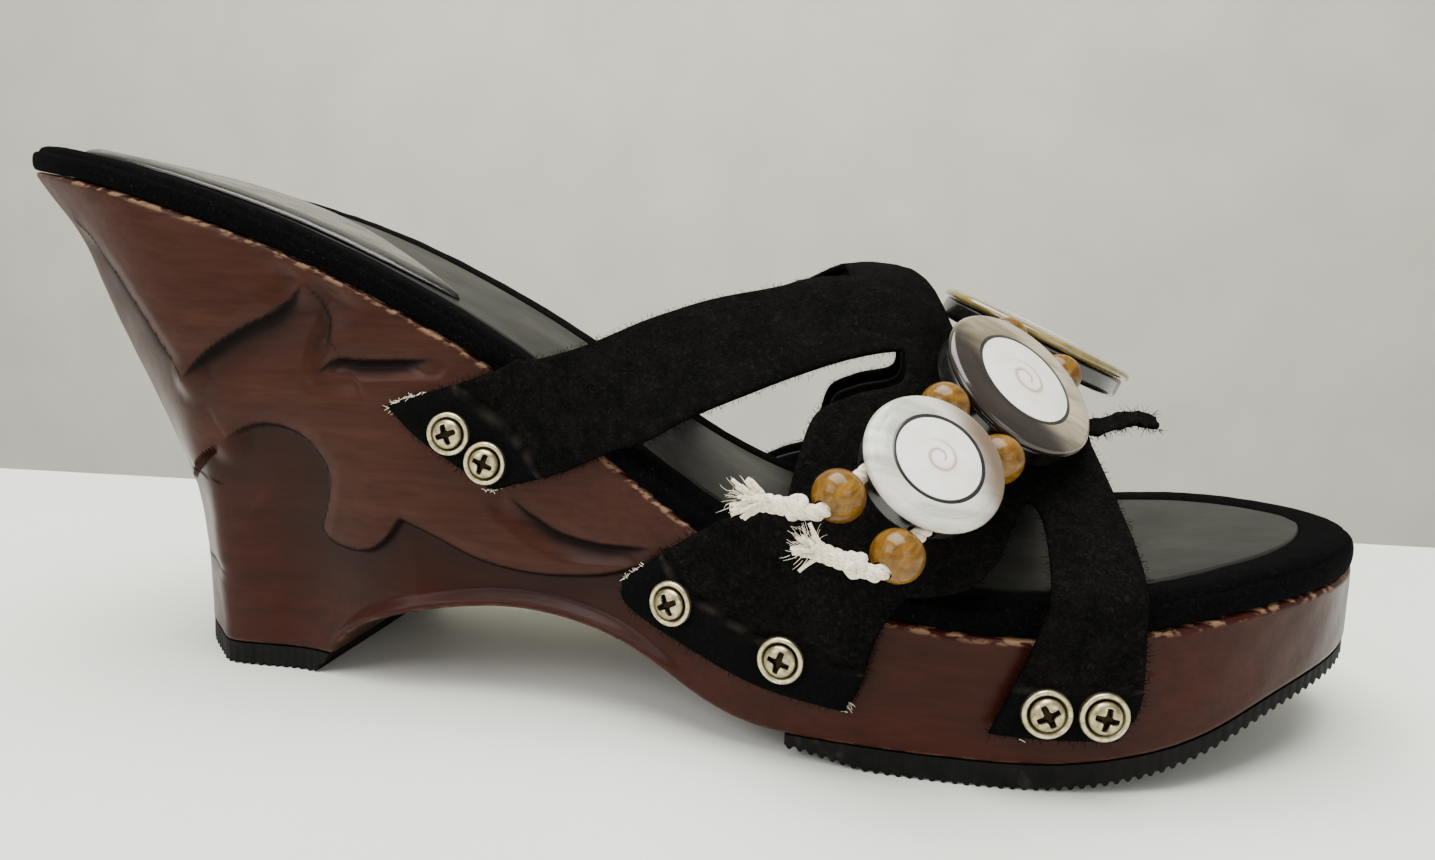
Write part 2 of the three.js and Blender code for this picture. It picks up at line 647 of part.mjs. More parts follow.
const screwHoles = [];
const brass = { color: 0xb9a878, roughness: 0.35, metalness: 0.9 };
for (const side of [-1, 1]) {
  const label = side < 0 ? 'lateral' : 'medial';
  SCREW_PLACES.forEach(({ name, at }) => at.forEach(([x, z], i) => {
    const seat = wallFrame(x * sx, z * sz, side, SUEDE_TOP + GAP);
    addPiece(`washer_${label}_${name}_${i + 1}`, washerGeometry().applyMatrix4(seat), brass);
    addSolid(`screw_${label}_${name}_${i + 1}`, screwSolid().transform(seat.elements), brass);
    const start = new THREE.Vector3(0, 0, -SCREW_LENGTH - 0.5).applyMatrix4(seat);
    const end = new THREE.Vector3(0, 0, 2).applyMatrix4(seat);
    screwHoles.push(rod(start, end, SCREW_SHANK_RADIUS + GAP + 0.1, 10));
  }));
}

function drilled(body) {
  return screwHoles.reduce((left, hole) => left.subtract(hole), body);
}

// ---------------------------------------------------------------- platform, soles and footbed
const bed = GAP + FOAM_THICKNESS + GAP;
addSolid('wooden_platform', drilled(solid(woodGeometry())), { color: 0x5a2618, roughness: 0.38 });
addPiece('footbed_foam', bedLayer(32, RAND_WALL + GAP + 0.1, GAP, GAP + FOAM_THICKNESS), { color: 0x2b2826, roughness: 0.95 });
addPiece('footbed_leather', bedLayer(32, RAND_WIDTH + GAP, bed, bed + LEATHER_THICKNESS), { color: 0x2a2a2b, roughness: 0.5 });
addPiece('velvet_rand', randGeometry(), { color: 0x0a0a0c, roughness: 0.95 });
addPiece('heel_gel_pad', gelGeometry(), { color: 0xc8c8c4, roughness: 0.12, transparent: true, opacity: 0.4 });
const toeSole = toeSoleGeometry();
const rubber = { color: 0x141414, roughness: 0.8 };
addPiece('toe_outsole', ladder(toeSole.low, toeSole.high), rubber);
addPiece('heel_lift', liftGeometry(), rubber);

// ---------------------------------------------------------------- upper and lining
const suede = { color: 0x17110f, roughness: 0.97 };
const liningLook = { color: 0x111112, roughness: 0.55 };
for (const side of [-1, 1]) {
  const label = side < 0 ? 'lateral' : 'medial';
  const outer = sheetBlank(side, SUEDE_LIFT, SUEDE_TOP).intersect(cutter(side, SUEDE_TOP, 0));
  const inner = sheetBlank(side, LINING_LIFT, LINING_LIFT + LINING_THICKNESS).intersect(cutter(side, SUEDE_TOP, 1.3));
  addSolid(`upper_${label}`, drilled(outer), suede);
  addSolid(`lining_${label}`, drilled(inner), liningLook);
}

// ---------------------------------------------------------------- medallions, beads and cords
// Centre of each shell's face and the way that it faces.
const MEDALLIONS = [
  { centre: [47.1, -50.9, 47.8], facing: [0.37, -0.71, 0.59] },
  { centre: [60.75, -27.6, 57.3], facing: [0.53, -0.53, 0.66] },
  { centre: [68.1, 8.4, 64.8], facing: [0.41, -0.06, 0.91] },
].map(({ centre, facing }, i) => {
  const [x, y, z] = centre;
  const seat = new THREE.Vector3(x * sx, y * sy, z + (sz - 1) * 24);
  return { face: seat, facing: new THREE.Vector3(...facing).normalize(), radius: MEDALLION_RADII[i] };
});
const BACKING_INSET = 1;
const CORD_DEPTH = SHELL_THICKNESS + GAP + BACKING_THICKNESS / 2;

// The cords lie in a plane behind the shells; forward is the way they run through a backing.
MEDALLIONS.forEach((medallion, i) => {
  const before = MEDALLIONS[Math.max(i - 1, 0)].face;
  const after = MEDALLIONS[Math.min(i + 1, 2)].face;
  medallion.forward = new THREE.Vector3().subVectors(after, before).projectOnPlane(medallion.facing).normalize();
  medallion.aside = new THREE.Vector3().crossVectors(medallion.facing, medallion.forward);
  medallion.middle = medallion.face.clone().addScaledVector(medallion.facing, -CORD_DEPTH);
  medallion.reach = Math.sqrt((medallion.radius + GAP) ** 2 - (CORD_SPACING / 2) ** 2);
});

const strung = (medallion, row, along) => medallion.middle.clone()
  .addScaledVector(medallion.aside, (row * CORD_SPACING) / 2)
  .addScaledVector(medallion.forward, along);

// Bead seats along one cord: one before the first medallion, one in each gap, one after the last.
function beadSeats(row) {
  const [first, , last] = MEDALLIONS;
  const out = BEAD_RADIUS + GAP;
  const seats = [{ centre: strung(first, row, -first.reach - out), axis: first.forward }];
  for (let i = 0; i < 2; i++) {
    const [here, next] = [MEDALLIONS[i], MEDALLIONS[i + 1]];
    const exit = strung(here, row, here.reach);
    const entry = strung(next, row, -next.reach);
    const axis = new THREE.Vector3().subVectors(entry, exit).normalize();
    seats.push({ centre: exit.add(entry).multiplyScalar(0.5), axis });
  }
  seats.push({ centre: strung(last, row, last.reach + out), axis: last.forward });
  return seats;
}

function beadGeometry() {
  const bore = CORD_RADIUS + GAP + 0.1;
  const profile = [];
  const steps = 6;
  const start = Math.asin(bore / BEAD_RADIUS);
  for (let k = 0; k <= steps; k++) {
    const turn = start + ((Math.PI - 2 * start) * k) / steps;
    profile.push([BEAD_RADIUS * Math.sin(turn), -BEAD_RADIUS * Math.cos(turn) * 0.95]);
  }
  profile.push(profile[0]);
  return turned(profile, 12);
}

// Loose end of a cord: a knot against the last bead, then a short tail that opens into threads.
function cordEnd(seat, outward, tail) {
  const axis = seat.axis.clone().multiplyScalar(outward);
  const way = new THREE.Vector3(...tail).normalize();
  const lean = axis.clone().addScaledVector(way, 0.8).normalize();
  const knot = seat.centre.clone().addScaledVector(lean, BEAD_RADIUS + GAP + CORD_RADIUS * 1.8);
  const knotBody = solid(new THREE.SphereGeometry(CORD_RADIUS * 1.75, 10, 7), new THREE.Matrix4().setPosition(knot));
  const tip = knot.clone().addScaledVector(way, TAIL_LENGTH);
  const brush = turned([
    [0, 0], [CORD_RADIUS, 0], [CORD_RADIUS * 1.2, TAIL_LENGTH * 0.6], [CORD_RADIUS * 1.9, TAIL_LENGTH], [0, TAIL_LENGTH * 0.9],
  ], 9);
  return { knot, tip, body: knotBody.add(solid(brush, standing(knot, way))) };
}

function cordSolid(row) {
  const seats = beadSeats(row);
  const near = cordEnd(seats[0], -1, row < 0 ? [-0.93, 0, 0.3] : [-0.98, 0, 0.12]);
  const far = cordEnd(seats[3], 1, [-0.3, 0.8, -0.5]);
  const path = [near.knot];
  seats.forEach((seat, i) => {
    for (const end of [-1, 1]) path.push(seat.centre.clone().addScaledVector(seat.axis, end * BEAD_RADIUS));
    if (i < 3) for (const end of [-1, -0.5, 0, 0.5, 1]) path.push(strung(MEDALLIONS[i], row, end * (MEDALLIONS[i].reach - 0.6)));
  });
  path.push(far.knot);
  const section = new THREE.Shape();
  section.absarc(0, 0, CORD_RADIUS, 0, Math.PI * 2);
  const tube = new THREE.ExtrudeGeometry(section, {
    steps: 44, curveSegments: 3, bevelEnabled: false, extrudePath: new THREE.CatmullRomCurve3(path, false, 'centripetal'),
  });
  return solid(tube).add(near.body).add(far.body);
}

const pearl = { color: 0xb9b2a2, roughness: 0.18, metalness: 0.1 };
const cordLook = { color: 0xe6dcc4, roughness: 0.95 };
const beadLook = { color: 0xc99a55, roughness: 0.3 };
MEDALLIONS.forEach((medallion, i) => {
  const { radius, face, facing } = medallion;
  const label = `medallion_${i + 1}`;
  const inlay = radius * 0.53;
  const ringOut = inlay + 0.7;
  const place = standing(face, facing);
  const edge = 0.5;
  const floor = -SHELL_THICKNESS;
  addPiece(`${label}_shell`, turned([
    [ringOut + GAP, floor], [radius - edge, floor], [radius, floor + edge], [radius - 1.2, 0],
    [ringOut + GAP, 0.25], [ringOut + GAP, floor],
  ], 26).applyMatrix4(place), pearl);
  addPiece(`${label}_bezel`, turned([
    [inlay + GAP, floor], [ringOut, floor], [ringOut, 0.25], [inlay + GAP, 0.25], [inlay + GAP, floor],
  ], 20).applyMatrix4(place), { color: 0x0c0b0a, roughness: 0.4 });
  addPiece(`${label}_inlay`, turned([[0, floor], [inlay, floor], [inlay, 0.25], [inlay * 0.6, 0.45], [0, 0.55]], 20)
    .applyMatrix4(place), { color: 0xefece4, roughness: 0.25 });
  const under = floor - GAP;
  const backing = turned([
    [0, under - BACKING_THICKNESS], [radius - BACKING_INSET - 0.5, under - BACKING_THICKNESS],
    [radius - BACKING_INSET, under - BACKING_THICKNESS + 0.6], [radius - BACKING_INSET, under], [0, under],
  ], 24);
  let body = solid(backing, place);
  for (const row of [-1, 1]) {
    const reach = medallion.reach + 2;
    body = body.subtract(rod(strung(medallion, row, -reach), strung(medallion, row, reach), CORD_RADIUS + GAP, 10));
  }
  addSolid(`${label}_backing`, body, { color: 0x0d0c0b, roughness: 0.35 });
});
[-1, 1].forEach((row, r) => {
  addSolid(`cord_${r + 1}`, cordSolid(row), cordLook);
  beadSeats(row).forEach(({ centre, axis }, i) => {
    addPiece(`bead_${r + 1}_${i + 1}`, beadGeometry().applyMatrix4(standing(centre, axis)), beadLook);
  });
});

// ---------------------------------------------------------------- suede tie end
// A flat strip that leaves the upper's front edge and lifts a little over the toes.
function tieGeometry() {
  const v = 0.62;
  const low = SUEDE_TOP + GAP;
  const out = lastNormal(72 * sx, v, -1);
  const across = new THREE.Vector3().crossVectors(out, new THREE.Vector3(1, 0, 0)).normalize();
  const edge = lastPoint(73 * sx, v, -1, low);
  const path = [lastPoint(70.3 * sx, v, -1, low), edge];
  for (const [forward, rise] of [[3, 1.1], [6, 1.7], [9, 1.2]]) {
    path.push(edge.clone().add(new THREE.Vector3(forward * sx, 0, rise)));
  }
  const corners = [[-0.5, 0], [0.5, 0], [0.5, 1], [-0.5, 1]];
  const rings = path.map((p) => corners.map(([w, t]) => p.clone()
    .addScaledVector(across, w * TIE_WIDTH).addScaledVector(out, t * TIE_THICKNESS)));
  return loft(rings);
}
addSolid('suede_tie_end', solid(tieGeometry()), suede);

// The finished shoe is centred over the origin, standing on the ground.
const box = new THREE.Box3().setFromObject(clog);
clog.position.set(-(box.min.x + box.max.x) / 2, -(box.min.y + box.max.y) / 2, -box.min.z);

export default clog;
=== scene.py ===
# Looks of the carved wooden wedge clog. Shapes are worked out in millimetres in the shoe's own
# frame (+X toe, +Y inner side, +Z up) and written in metres in the row frame.
import math

import bpy
import numpy as np
from mathutils import Matrix, Vector
from mathutils.geometry import delaunay_2d_cdt


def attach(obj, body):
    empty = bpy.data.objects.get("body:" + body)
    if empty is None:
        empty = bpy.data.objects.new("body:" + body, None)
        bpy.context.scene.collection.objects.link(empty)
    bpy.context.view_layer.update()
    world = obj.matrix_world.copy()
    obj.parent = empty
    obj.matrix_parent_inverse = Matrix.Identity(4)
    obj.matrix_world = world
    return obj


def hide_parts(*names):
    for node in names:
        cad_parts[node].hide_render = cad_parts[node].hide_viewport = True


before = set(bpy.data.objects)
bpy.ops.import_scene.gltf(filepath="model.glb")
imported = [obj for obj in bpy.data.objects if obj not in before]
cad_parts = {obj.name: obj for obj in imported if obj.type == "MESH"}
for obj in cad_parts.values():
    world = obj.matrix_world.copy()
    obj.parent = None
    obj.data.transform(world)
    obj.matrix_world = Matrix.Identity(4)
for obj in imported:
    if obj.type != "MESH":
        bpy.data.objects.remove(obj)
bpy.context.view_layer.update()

MM = 0.001
FRAME_SHIFT = np.array([0.0, 7.165, 0.0])
HALF = 121.5
CHANCE = np.random.default_rng(7)
# The two sides of the shoe: sign of Y, name in this script, name in the CAD nodes.
SIDES = ((-1, "outer", "lateral"), (1, "inner", "medial"))

SOLE_THICKNESS = 3.8
LIFT_THICKNESS = 4.0
RAND_HEIGHT = 4.6
SUEDE_LOW = 1.4
SUEDE_TOP = 2.6
LINING_LOW = 0.3
LINING_TOP = 1.1
BEAD_RADIUS = 3.6
CORD_RADIUS = 1.1
CORD_SPACING = 10.5
CORD_DEPTH = 3.7
TAIL_LENGTH = 8.0
SHELL_THICKNESS = 1.6
BACKING_THICKNESS = 3.6
GAP = 0.3


# ------------------------------------------------------------------ small mathematics
def spline(knots):
    """Natural cubic spline through (at, value) knots, flat past its ends."""
    at, value = (np.array(row, float) for row in zip(*knots))
    gap = np.diff(at)
    slope = np.diff(value) / gap
    count = len(at)
    matrix = np.eye(count)
    right = np.zeros(count)
    for i in range(1, count - 1):
        matrix[i, i - 1:i + 2] = gap[i - 1], 2 * (gap[i - 1] + gap[i]), gap[i]
        right[i] = 6 * (slope[i] - slope[i - 1])
    bend = np.linalg.solve(matrix, right)

    def curve(x):
        x = np.clip(x, at[0], at[-1])
        i = np.clip(np.searchsorted(at, x) - 1, 0, count - 2)
        a = (at[i + 1] - x) / gap[i]
        b = (x - at[i]) / gap[i]
        cubic = (a ** 3 - a) * bend[i] + (b ** 3 - b) * bend[i + 1]
        return a * value[i] + b * value[i + 1] + cubic * gap[i] ** 2 / 6

    return curve


def smooth(low, high, at):
    t = np.clip((at - low) / (high - low), 0, 1)
    return t * t * (3 - 2 * t)


def unit(v):
    v = np.asarray(v, float)
    return v / np.maximum(np.linalg.norm(v, axis=-1, keepdims=True), 1e-12)


def rough(points, size, seed=0.0):
    """Smooth waves with no plain repeat, from -1 to 1, about size across."""
    p = np.asarray(points, float) / size
    total = 0
    for k in range(5):
        turn = 1.7 * k + seed
        way = np.array([math.cos(turn), math.sin(1.3 * turn), math.cos(2.1 * turn + 1)])
        total = total + np.sin(p @ way[:p.shape[-1]] * (2 + 0.9 * k) + 2.4 * turn)
    return total / 5


def polyline_distance(points, line):
    """Distance to a line of knots, and which side of it a point is on (+1 right-hand side)."""
    best = np.full(len(points), 1e9)
    side = np.ones(len(points))
    for a, b in zip(line[:-1], line[1:]):
        d = b - a
        rel = points - a
        along = np.clip(rel @ d / max(d @ d, 1e-9), 0, 1)
        away = np.linalg.norm(rel - along[:, None] * d, axis=1)
        near = away < best
        best[near] = away[near]
        side[near] = np.sign(rel[near, 0] * d[1] - rel[near, 1] * d[0])
    return best, side


def rounded_line(knots, steps=5):
    """Catmull-Rom line through knots."""
    knots = np.array(knots, float)
    padded = np.vstack([2 * knots[0] - knots[1], knots, 2 * knots[-1] - knots[-2]])
    out = []
    for i in range(1, len(padded) - 2):
        p0, p1, p2, p3 = padded[i - 1:i + 3]
        for t in np.arange(steps) / steps:
            out.append(0.5 * (2 * p1 + (p2 - p0) * t + (2 * p0 - 5 * p1 + 4 * p2 - p3) * t ** 2
                              + (3 * p1 - p0 - 3 * p2 + p3) * t ** 3))
    out.append(padded[-2])
    return np.array(out)


# ------------------------------------------------------------------ making meshes
def make_piece(name, points, faces, material, slot, replaces=(), body="shoe", sharp=None, **attributes):
    mesh = bpy.data.meshes.new(name)
    placed = (np.asarray(points, float) + FRAME_SHIFT) * MM
    mesh.from_pydata(placed.tolist(), [], [list(map(int, face)) for face in faces])
    mesh.validate()
    for key, values in attributes.items():
        values = np.asarray(values, np.float32)
        kind, field = ("FLOAT", "value") if values.ndim == 1 else ("FLOAT_VECTOR", "vector")
        mesh.attributes.new(key, kind, "POINT").data.foreach_set(field, values.ravel())
    mesh.shade_smooth()
    if sharp:
        mesh.set_sharp_from_angle(angle=math.radians(sharp))
    mesh.materials.append(material)
    piece = bpy.data.objects.new(name, mesh)
    bpy.context.scene.collection.objects.link(piece)
    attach(piece, body)
    if replaces:
        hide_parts(*replaces)
    return piece


def grid_faces(rows, columns, wrap_rows=False, wrap_columns=False):
    """Quads of a grid whose point (r, c) is number r * columns + c."""
    r = np.arange(rows if wrap_rows else rows - 1)
    c = np.arange(columns if wrap_columns else columns - 1)
    rr, cc = np.meshgrid(r, c, indexing="ij")
    rn = (rr + 1) % rows
    cn = (cc + 1) % columns
    quads = [rr * columns + cc, rr * columns + cn, rn * columns + cn, rn * columns + cc]
    return np.stack(quads, -1).reshape(-1, 4)


def round_faces(rings, segments, close_ends=True):
    """Quads round a stack of rings, with a face over each end."""
    faces = [list(f) for f in grid_faces(rings, segments, wrap_columns=True)]
    if close_ends:
        faces.append(list(range(segments))[::-1])
        faces.append([(rings - 1) * segments + k for k in range(segments)])
    return faces


def lathe(profile, segments=64, close_ends=True):
    """Points and faces turned about Z from (radius, height) pairs listed from foot to top."""
    turn = np.arange(segments) * 2 * math.pi / segments
    profile = np.asarray(profile, float)
    ring = np.stack([np.cos(turn), np.sin(turn)], 1)
    points = [np.column_stack([ring * max(r, 1e-4), np.full(segments, h)]) for r, h in profile]
    return np.vstack(points), round_faces(len(profile), segments, close_ends)


def standing(point, facing):
    """Axes (as rows) and point of a shape that stands on point with its +Z along facing."""
    z = unit(facing)
    x = unit(np.array([1.0, 0, 0]) - z * z[0])
    return np.array([x, np.cross(z, x), z]), np.asarray(point, float)


def placed(points, frame_of):
    axes, origin = frame_of
    return np.asarray(points) @ axes + origin


class Bundle:
    """Collects many small meshes into one."""

    def __init__(self):
        self.points, self.faces, self.count = [], [], 0

    def add(self, points, faces):
        self.points.append(np.asarray(points, float))
        self.faces += [[i + self.count for i in face] for face in faces]
        self.count += len(points)

    def all(self):
        return np.vstack(self.points), self.faces


def tube(path, radius, sides=8):
    """Round tube along path; radius may be one number or one for each point."""
    path = np.asarray(path, float)
    radius = np.broadcast_to(radius, len(path))
    ahead = unit(np.gradient(path, axis=0))
    normal = np.cross(ahead[0], [0.3, 0.5, 0.8])
    rings = []
    for point, way, r in zip(path, ahead, radius):
        normal = unit(normal - way * (normal @ way))
        other = np.cross(way, normal)
        turn = np.arange(sides) * 2 * math.pi / sides
        rings.append(point + r * (np.outer(np.cos(turn), normal) + np.outer(np.sin(turn), other)))
    return np.vstack(rings), round_faces(len(path), sides)


# ------------------------------------------------------------------ materials
class Look:
    """A Principled material with short calls for its nodes."""

    def __init__(self, name, **settings):
        self.material = bpy.data.materials.new(name)
        self.material.use_nodes = True
        self.tree = self.material.node_tree
        self.shader = self.tree.nodes["Principled BSDF"]
        for key, value in settings.items():
            self.shader.inputs[key.replace("_", " ")].default_value = value

    def node(self, kind, inputs=None, **settings):
        made = self.tree.nodes.new("ShaderNode" + kind)
        for key, value in settings.items():
            setattr(made, key, value)
        for key, value in (inputs or {}).items():
            self.feed(made.inputs[key], value)
        return made

    def feed(self, socket, value):
        if isinstance(value, bpy.types.NodeSocket):
            self.tree.links.new(value, socket)
        else:
            socket.default_value = value

    def coordinates(self, stretch=(1, 1, 1)):
        """Position on the piece in millimetres, stretched."""
        place = self.node("TexCoord").outputs["Object"]
        scale = [1000 * s for s in stretch]
        return self.node("Mapping", {"Vector": place, "Scale": scale}).outputs["Vector"]

    def noise(self, size, detail=4.0, stretch=(1, 1, 1), vector=None, roughness=0.55, distortion=0.0):
        where = vector if vector is not None else self.coordinates(stretch)
        inputs = {"Vector": where, "Scale": 1 / size, "Detail": detail,
                  "Roughness": roughness, "Distortion": distortion}
        return self.node("TexNoise", inputs).outputs["Fac"]

    def ramp(self, factor, *stops):
        made = self.node("ValToRGB", {"Fac": factor})
        band = made.color_ramp
        while len(band.elements) < len(stops):
            band.elements.new(0.5)
        for element, (at, colour) in zip(band.elements, stops):
            element.position = at
            value = colour if hasattr(colour, "__len__") else (colour,) * 3
            element.color = (*value, 1)
        return made.outputs["Color"]

    def mix(self, factor, a, b, blend="MIX"):
        made = self.node("Mix", data_type="RGBA", blend_type=blend)
        self.feed(made.inputs[0], factor)
        for socket, value in ((made.inputs[6], a), (made.inputs[7], b)):
            self.feed(socket, (*value, 1) if isinstance(value, tuple) else value)
        return made.outputs[2]

    def math(self, operation, *values):
        made = self.node("Math", operation=operation)
        for socket, value in zip(made.inputs, values):
            self.feed(socket, value)
        return made.outputs[0]

    def attribute(self, name, output="Fac"):
        return self.node("Attribute", attribute_name=name).outputs[output]

    def bump(self, height, strength=0.3, distance=0.2, normal=None):
        inputs = {"Height": height, "Strength": strength, "Distance": distance * MM}
        made = self.node("Bump", inputs)
        if normal is not None:
            self.feed(made.inputs["Normal"], normal)
        return made.outputs["Normal"]

    def finish(self, colour=None, roughness=None, normal=None):
        for key, value in (("Base Color", colour), ("Roughness", roughness), ("Normal", normal)):
            if value is not None:
                self.feed(self.shader.inputs[key], value)
        return self.material


def srgb(*levels):
    """Linear colour from 0-255 display levels."""
    return tuple(((v / 255 + 0.055) / 1.055) ** 2.4 if v > 10 else v / 255 / 12.92 for v in levels)


def grey(level):
    return srgb(level, level, level)


def wood_look():
    look = Look("carved_wood", Coat_Weight=0.03, Coat_Roughness=0.2, Specular_IOR_Level=0.1)
    grain = look.noise(2.6, 6, stretch=(0.09, 1, 0.75), distortion=0.6)
    cloud = look.noise(20, 4)
    # Painted sheen: low is the wood's plain tone, high a lighter, greyer copy painted on the raised leaves
    # where the top light catches them.
    low = look.ramp(grain, (0.3, srgb(37, 12, 5)), (0.55, srgb(47, 17, 8)), (0.8, srgb(57, 23, 12)))
    high = look.ramp(grain, (0.3, srgb(45, 22, 14)), (0.55, srgb(54, 28, 18)), (0.8, srgb(64, 35, 24)))
    tone = look.mix(look.attribute("proud_sheen"), low, high)
    tone = look.mix(look.ramp(cloud, (0.35, 0.0), (0.7, 0.4)), tone, srgb(52, 20, 11))
    fine = look.noise(0.5, 3, stretch=(0.05, 1, 0.7))
    tone = look.mix(look.ramp(fine, (0.4, 0.22), (0.56, 0.0)), tone, srgb(17, 6, 3))
    # Painted shade: the wood darkens in each carved recess. It is strongest at the step and fades away from
    # it.
    tone = look.mix(look.math("MULTIPLY", look.attribute("recess"), 0.72), tone, srgb(24, 7, 3))
    # Painted shadow: a near-black band along the foot of each cut step.
    tone = look.mix(look.attribute("groove"), tone, srgb(7, 2, 1))
    worn = look.ramp(look.noise(1.3, 6, stretch=(0.45, 1, 1)), (0.5, 0.0), (0.58, 0.9))
    worn = look.math("MULTIPLY", worn, look.attribute("wear"))
    tone = look.mix(worn, tone, srgb(140, 110, 84))
    rough_map = look.ramp(look.noise(9, 4), (0.3, 0.3), (0.75, 0.44))
    rough_map = look.mix(worn, rough_map, (0.75, 0.75, 0.75))
    rough_map = look.mix(look.attribute("groove"), rough_map, (0.9, 0.9, 0.9))
    normal = look.bump(look.noise(0.7, 4, stretch=(0.1, 1, 0.8)), 0.13, 0.1)
    normal = look.bump(look.noise(6, 3), 0.28, 0.5, normal)
    return look.finish(tone, rough_map, normal)


def velvet_look():
    look = Look("black_velvet", Specular_IOR_Level=0.02)
    fuzz = look.noise(0.45, 5, roughness=0.7, distortion=0.6)
    tone = look.ramp(fuzz, (0.35, srgb(2, 2, 3)), (0.6, srgb(9, 9, 10)), (0.8, srgb(30, 30, 32)))
    lint = look.ramp(look.noise(1.1, 7, roughness=0.7), (0.62, 0.0), (0.7, 0.5))
    tone = look.mix(lint, tone, srgb(52, 50, 50))
    normal = look.bump(fuzz, 0.9, 0.5)
    return look.finish(tone, look.ramp(fuzz, (0.3, 0.9), (0.8, 1.0)), normal)


def leather_look(name, dark, light, gloss=0.42):
    look = Look(name, Specular_IOR_Level=0.14)
    cells = look.node("TexVoronoi", {"Vector": look.coordinates(), "Scale": 1 / 0.9},
                      feature="DISTANCE_TO_EDGE").outputs["Distance"]
    pores = look.ramp(cells, (0.0, 0.0), (0.22, 1.0))
    cloud = look.noise(14, 4)
    tone = look.ramp(cloud, (0.3, dark), (0.72, light))
    scuff = look.ramp(look.noise(5, 6, stretch=(0.5, 1, 1)), (0.62, 0.0), (0.72, 0.35))
    tone = look.mix(scuff, tone, tuple(1.6 * c + 0.01 for c in light))
    normal = look.bump(pores, 0.12, 0.08)
    normal = look.bump(look.noise(8, 3), 0.25, 0.5, normal)
    roughness = look.ramp(cloud, (0.3, gloss), (0.75, gloss + 0.14))
    return look.finish(tone, roughness, normal)


def suede_look():
    look = Look("suede", Specular_IOR_Level=0.02)
    nap = look.noise(0.7, 6, roughness=0.75, distortion=1.2)
    brushed = look.noise(5.0, 5, roughness=0.65, distortion=1.0)
    dark = look.ramp(nap, (0.34, grey(3)), (0.54, srgb(13, 13, 12)), (0.76, srgb(30, 29, 27)))
    pale = look.ramp(nap, (0.32, grey(7)), (0.54, srgb(19, 18, 17)), (0.76, srgb(43, 41, 39)))
    tone = look.mix(look.ramp(brushed, (0.4, 0.0), (0.62, 0.9)), dark, pale)
    specks = look.ramp(look.noise(0.32, 2), (0.68, 0.0), (0.76, 0.35))
    tone = look.mix(specks, tone, srgb(64, 61, 57))
    tone = look.mix(look.math("MULTIPLY", look.attribute("strip"), 0.7), tone, srgb(11, 11, 12))
    # Pale line inside each strip's upper edge: painted highlight along the step, partly edge wear.
    tone = look.mix(look.math("MULTIPLY", look.attribute("crease"), 0.55), tone, srgb(54, 49, 44))
    normal = look.bump(nap, 1.0, 0.6)
    normal = look.bump(brushed, 0.35, 0.6, normal)
    return look.finish(tone, look.ramp(nap, (0.3, 0.88), (0.8, 1.0)), normal)


def rubber_look():
    look = Look("black_rubber", Specular_IOR_Level=0.1)
    dust = look.noise(2.5, 6)
    tone = look.ramp(dust, (0.35, grey(9)), (0.62, srgb(20, 19, 18)), (0.8, srgb(48, 45, 41)))
    return look.finish(tone, look.ramp(dust, (0.3, 0.62), (0.7, 0.85)), look.bump(dust, 0.3, 0.15))


def gel_look():
    look = Look("clear_gel", Roughness=0.2, IOR=1.4, Transmission_Weight=0.93, Specular_IOR_Level=0.5)
    haze = look.noise(6, 4)
    tone = look.ramp(haze, (0.35, srgb(42, 41, 38)), (0.7, srgb(64, 63, 58)))
    normal = look.bump(look.noise(5, 2), 0.12, 0.15)
    return look.finish(tone, look.ramp(haze, (0.35, 0.16), (0.7, 0.3)), normal)


def brass_look(name, dark, middle, light):
    look = Look(name, Metallic=1.0)
    stain = look.noise(0.9, 5)
    tone = look.ramp(stain, (0.3, dark), (0.55, middle), (0.8, light))
    # Darker brown where the mask is set: deeper in a screw's cross recess, round the head's rim and in the
    # washer's cup under the head.
    tone = look.mix(look.attribute("grime"), tone, srgb(34, 28, 18))
    normal = look.bump(look.noise(0.35, 3), 0.15, 0.06)
    return look.finish(tone, look.ramp(stain, (0.3, 0.46), (0.7, 0.24)), normal)


def shell_look(name, base, cloudy, dark, amount):
    """Nacre with soft grown bands; 'disc' holds the place on the face in radii."""
    look = Look(name, Coat_Weight=0.4, Coat_Roughness=0.05, Specular_IOR_Level=0.4)
    disc = look.attribute("disc", "Vector")
    bent = look.node("Mapping", {"Vector": disc, "Rotation": (0, 0, 0.8), "Scale": (0.5, 2.0, 1)})
    band = look.noise(0.75, 3, vector=bent.outputs["Vector"], distortion=0.8)
    fine = look.noise(0.12, 3, vector=bent.outputs["Vector"], distortion=0.4)
    tone = look.mix(look.ramp(band, (0.42, 0.0), (0.62, 0.75)), base, cloudy)
    tone = look.mix(look.ramp(fine, (0.35, 0.0), (0.75, 0.22)), tone, cloudy)
    edge = look.math("MULTIPLY", look.attribute("shade"), amount)
    tone = look.mix(edge, tone, dark)
    pink, green = srgb(255, 240, 240), srgb(232, 246, 240)
    glow = look.ramp(band, (0.36, pink), (0.5, grey(255)), (0.64, green))
    tone = look.mix(0.7, tone, glow, "MULTIPLY")
    return look.finish(tone, look.ramp(band, (0.3, 0.14), (0.7, 0.26)), look.bump(fine, 0.06, 0.06))


def operculum_look():
    """White shell lid with a fine spiral."""
    look = Look("white_operculum", Coat_Weight=0.6, Coat_Roughness=0.08, Subsurface_Weight=0.08)
    look.shader.inputs["Subsurface Scale"].default_value = 0.002
    tone = look.ramp(look.noise(0.6, 4, vector=look.attribute("disc", "Vector")),
                     (0.35, srgb(238, 237, 232)), (0.7, srgb(224, 221, 212)))
    line = look.attribute("spiral")
    tone = look.mix(look.math("MULTIPLY", line, 0.75), tone, srgb(150, 112, 84))
    return look.finish(tone, 0.22, look.bump(line, 0.15, 0.08))


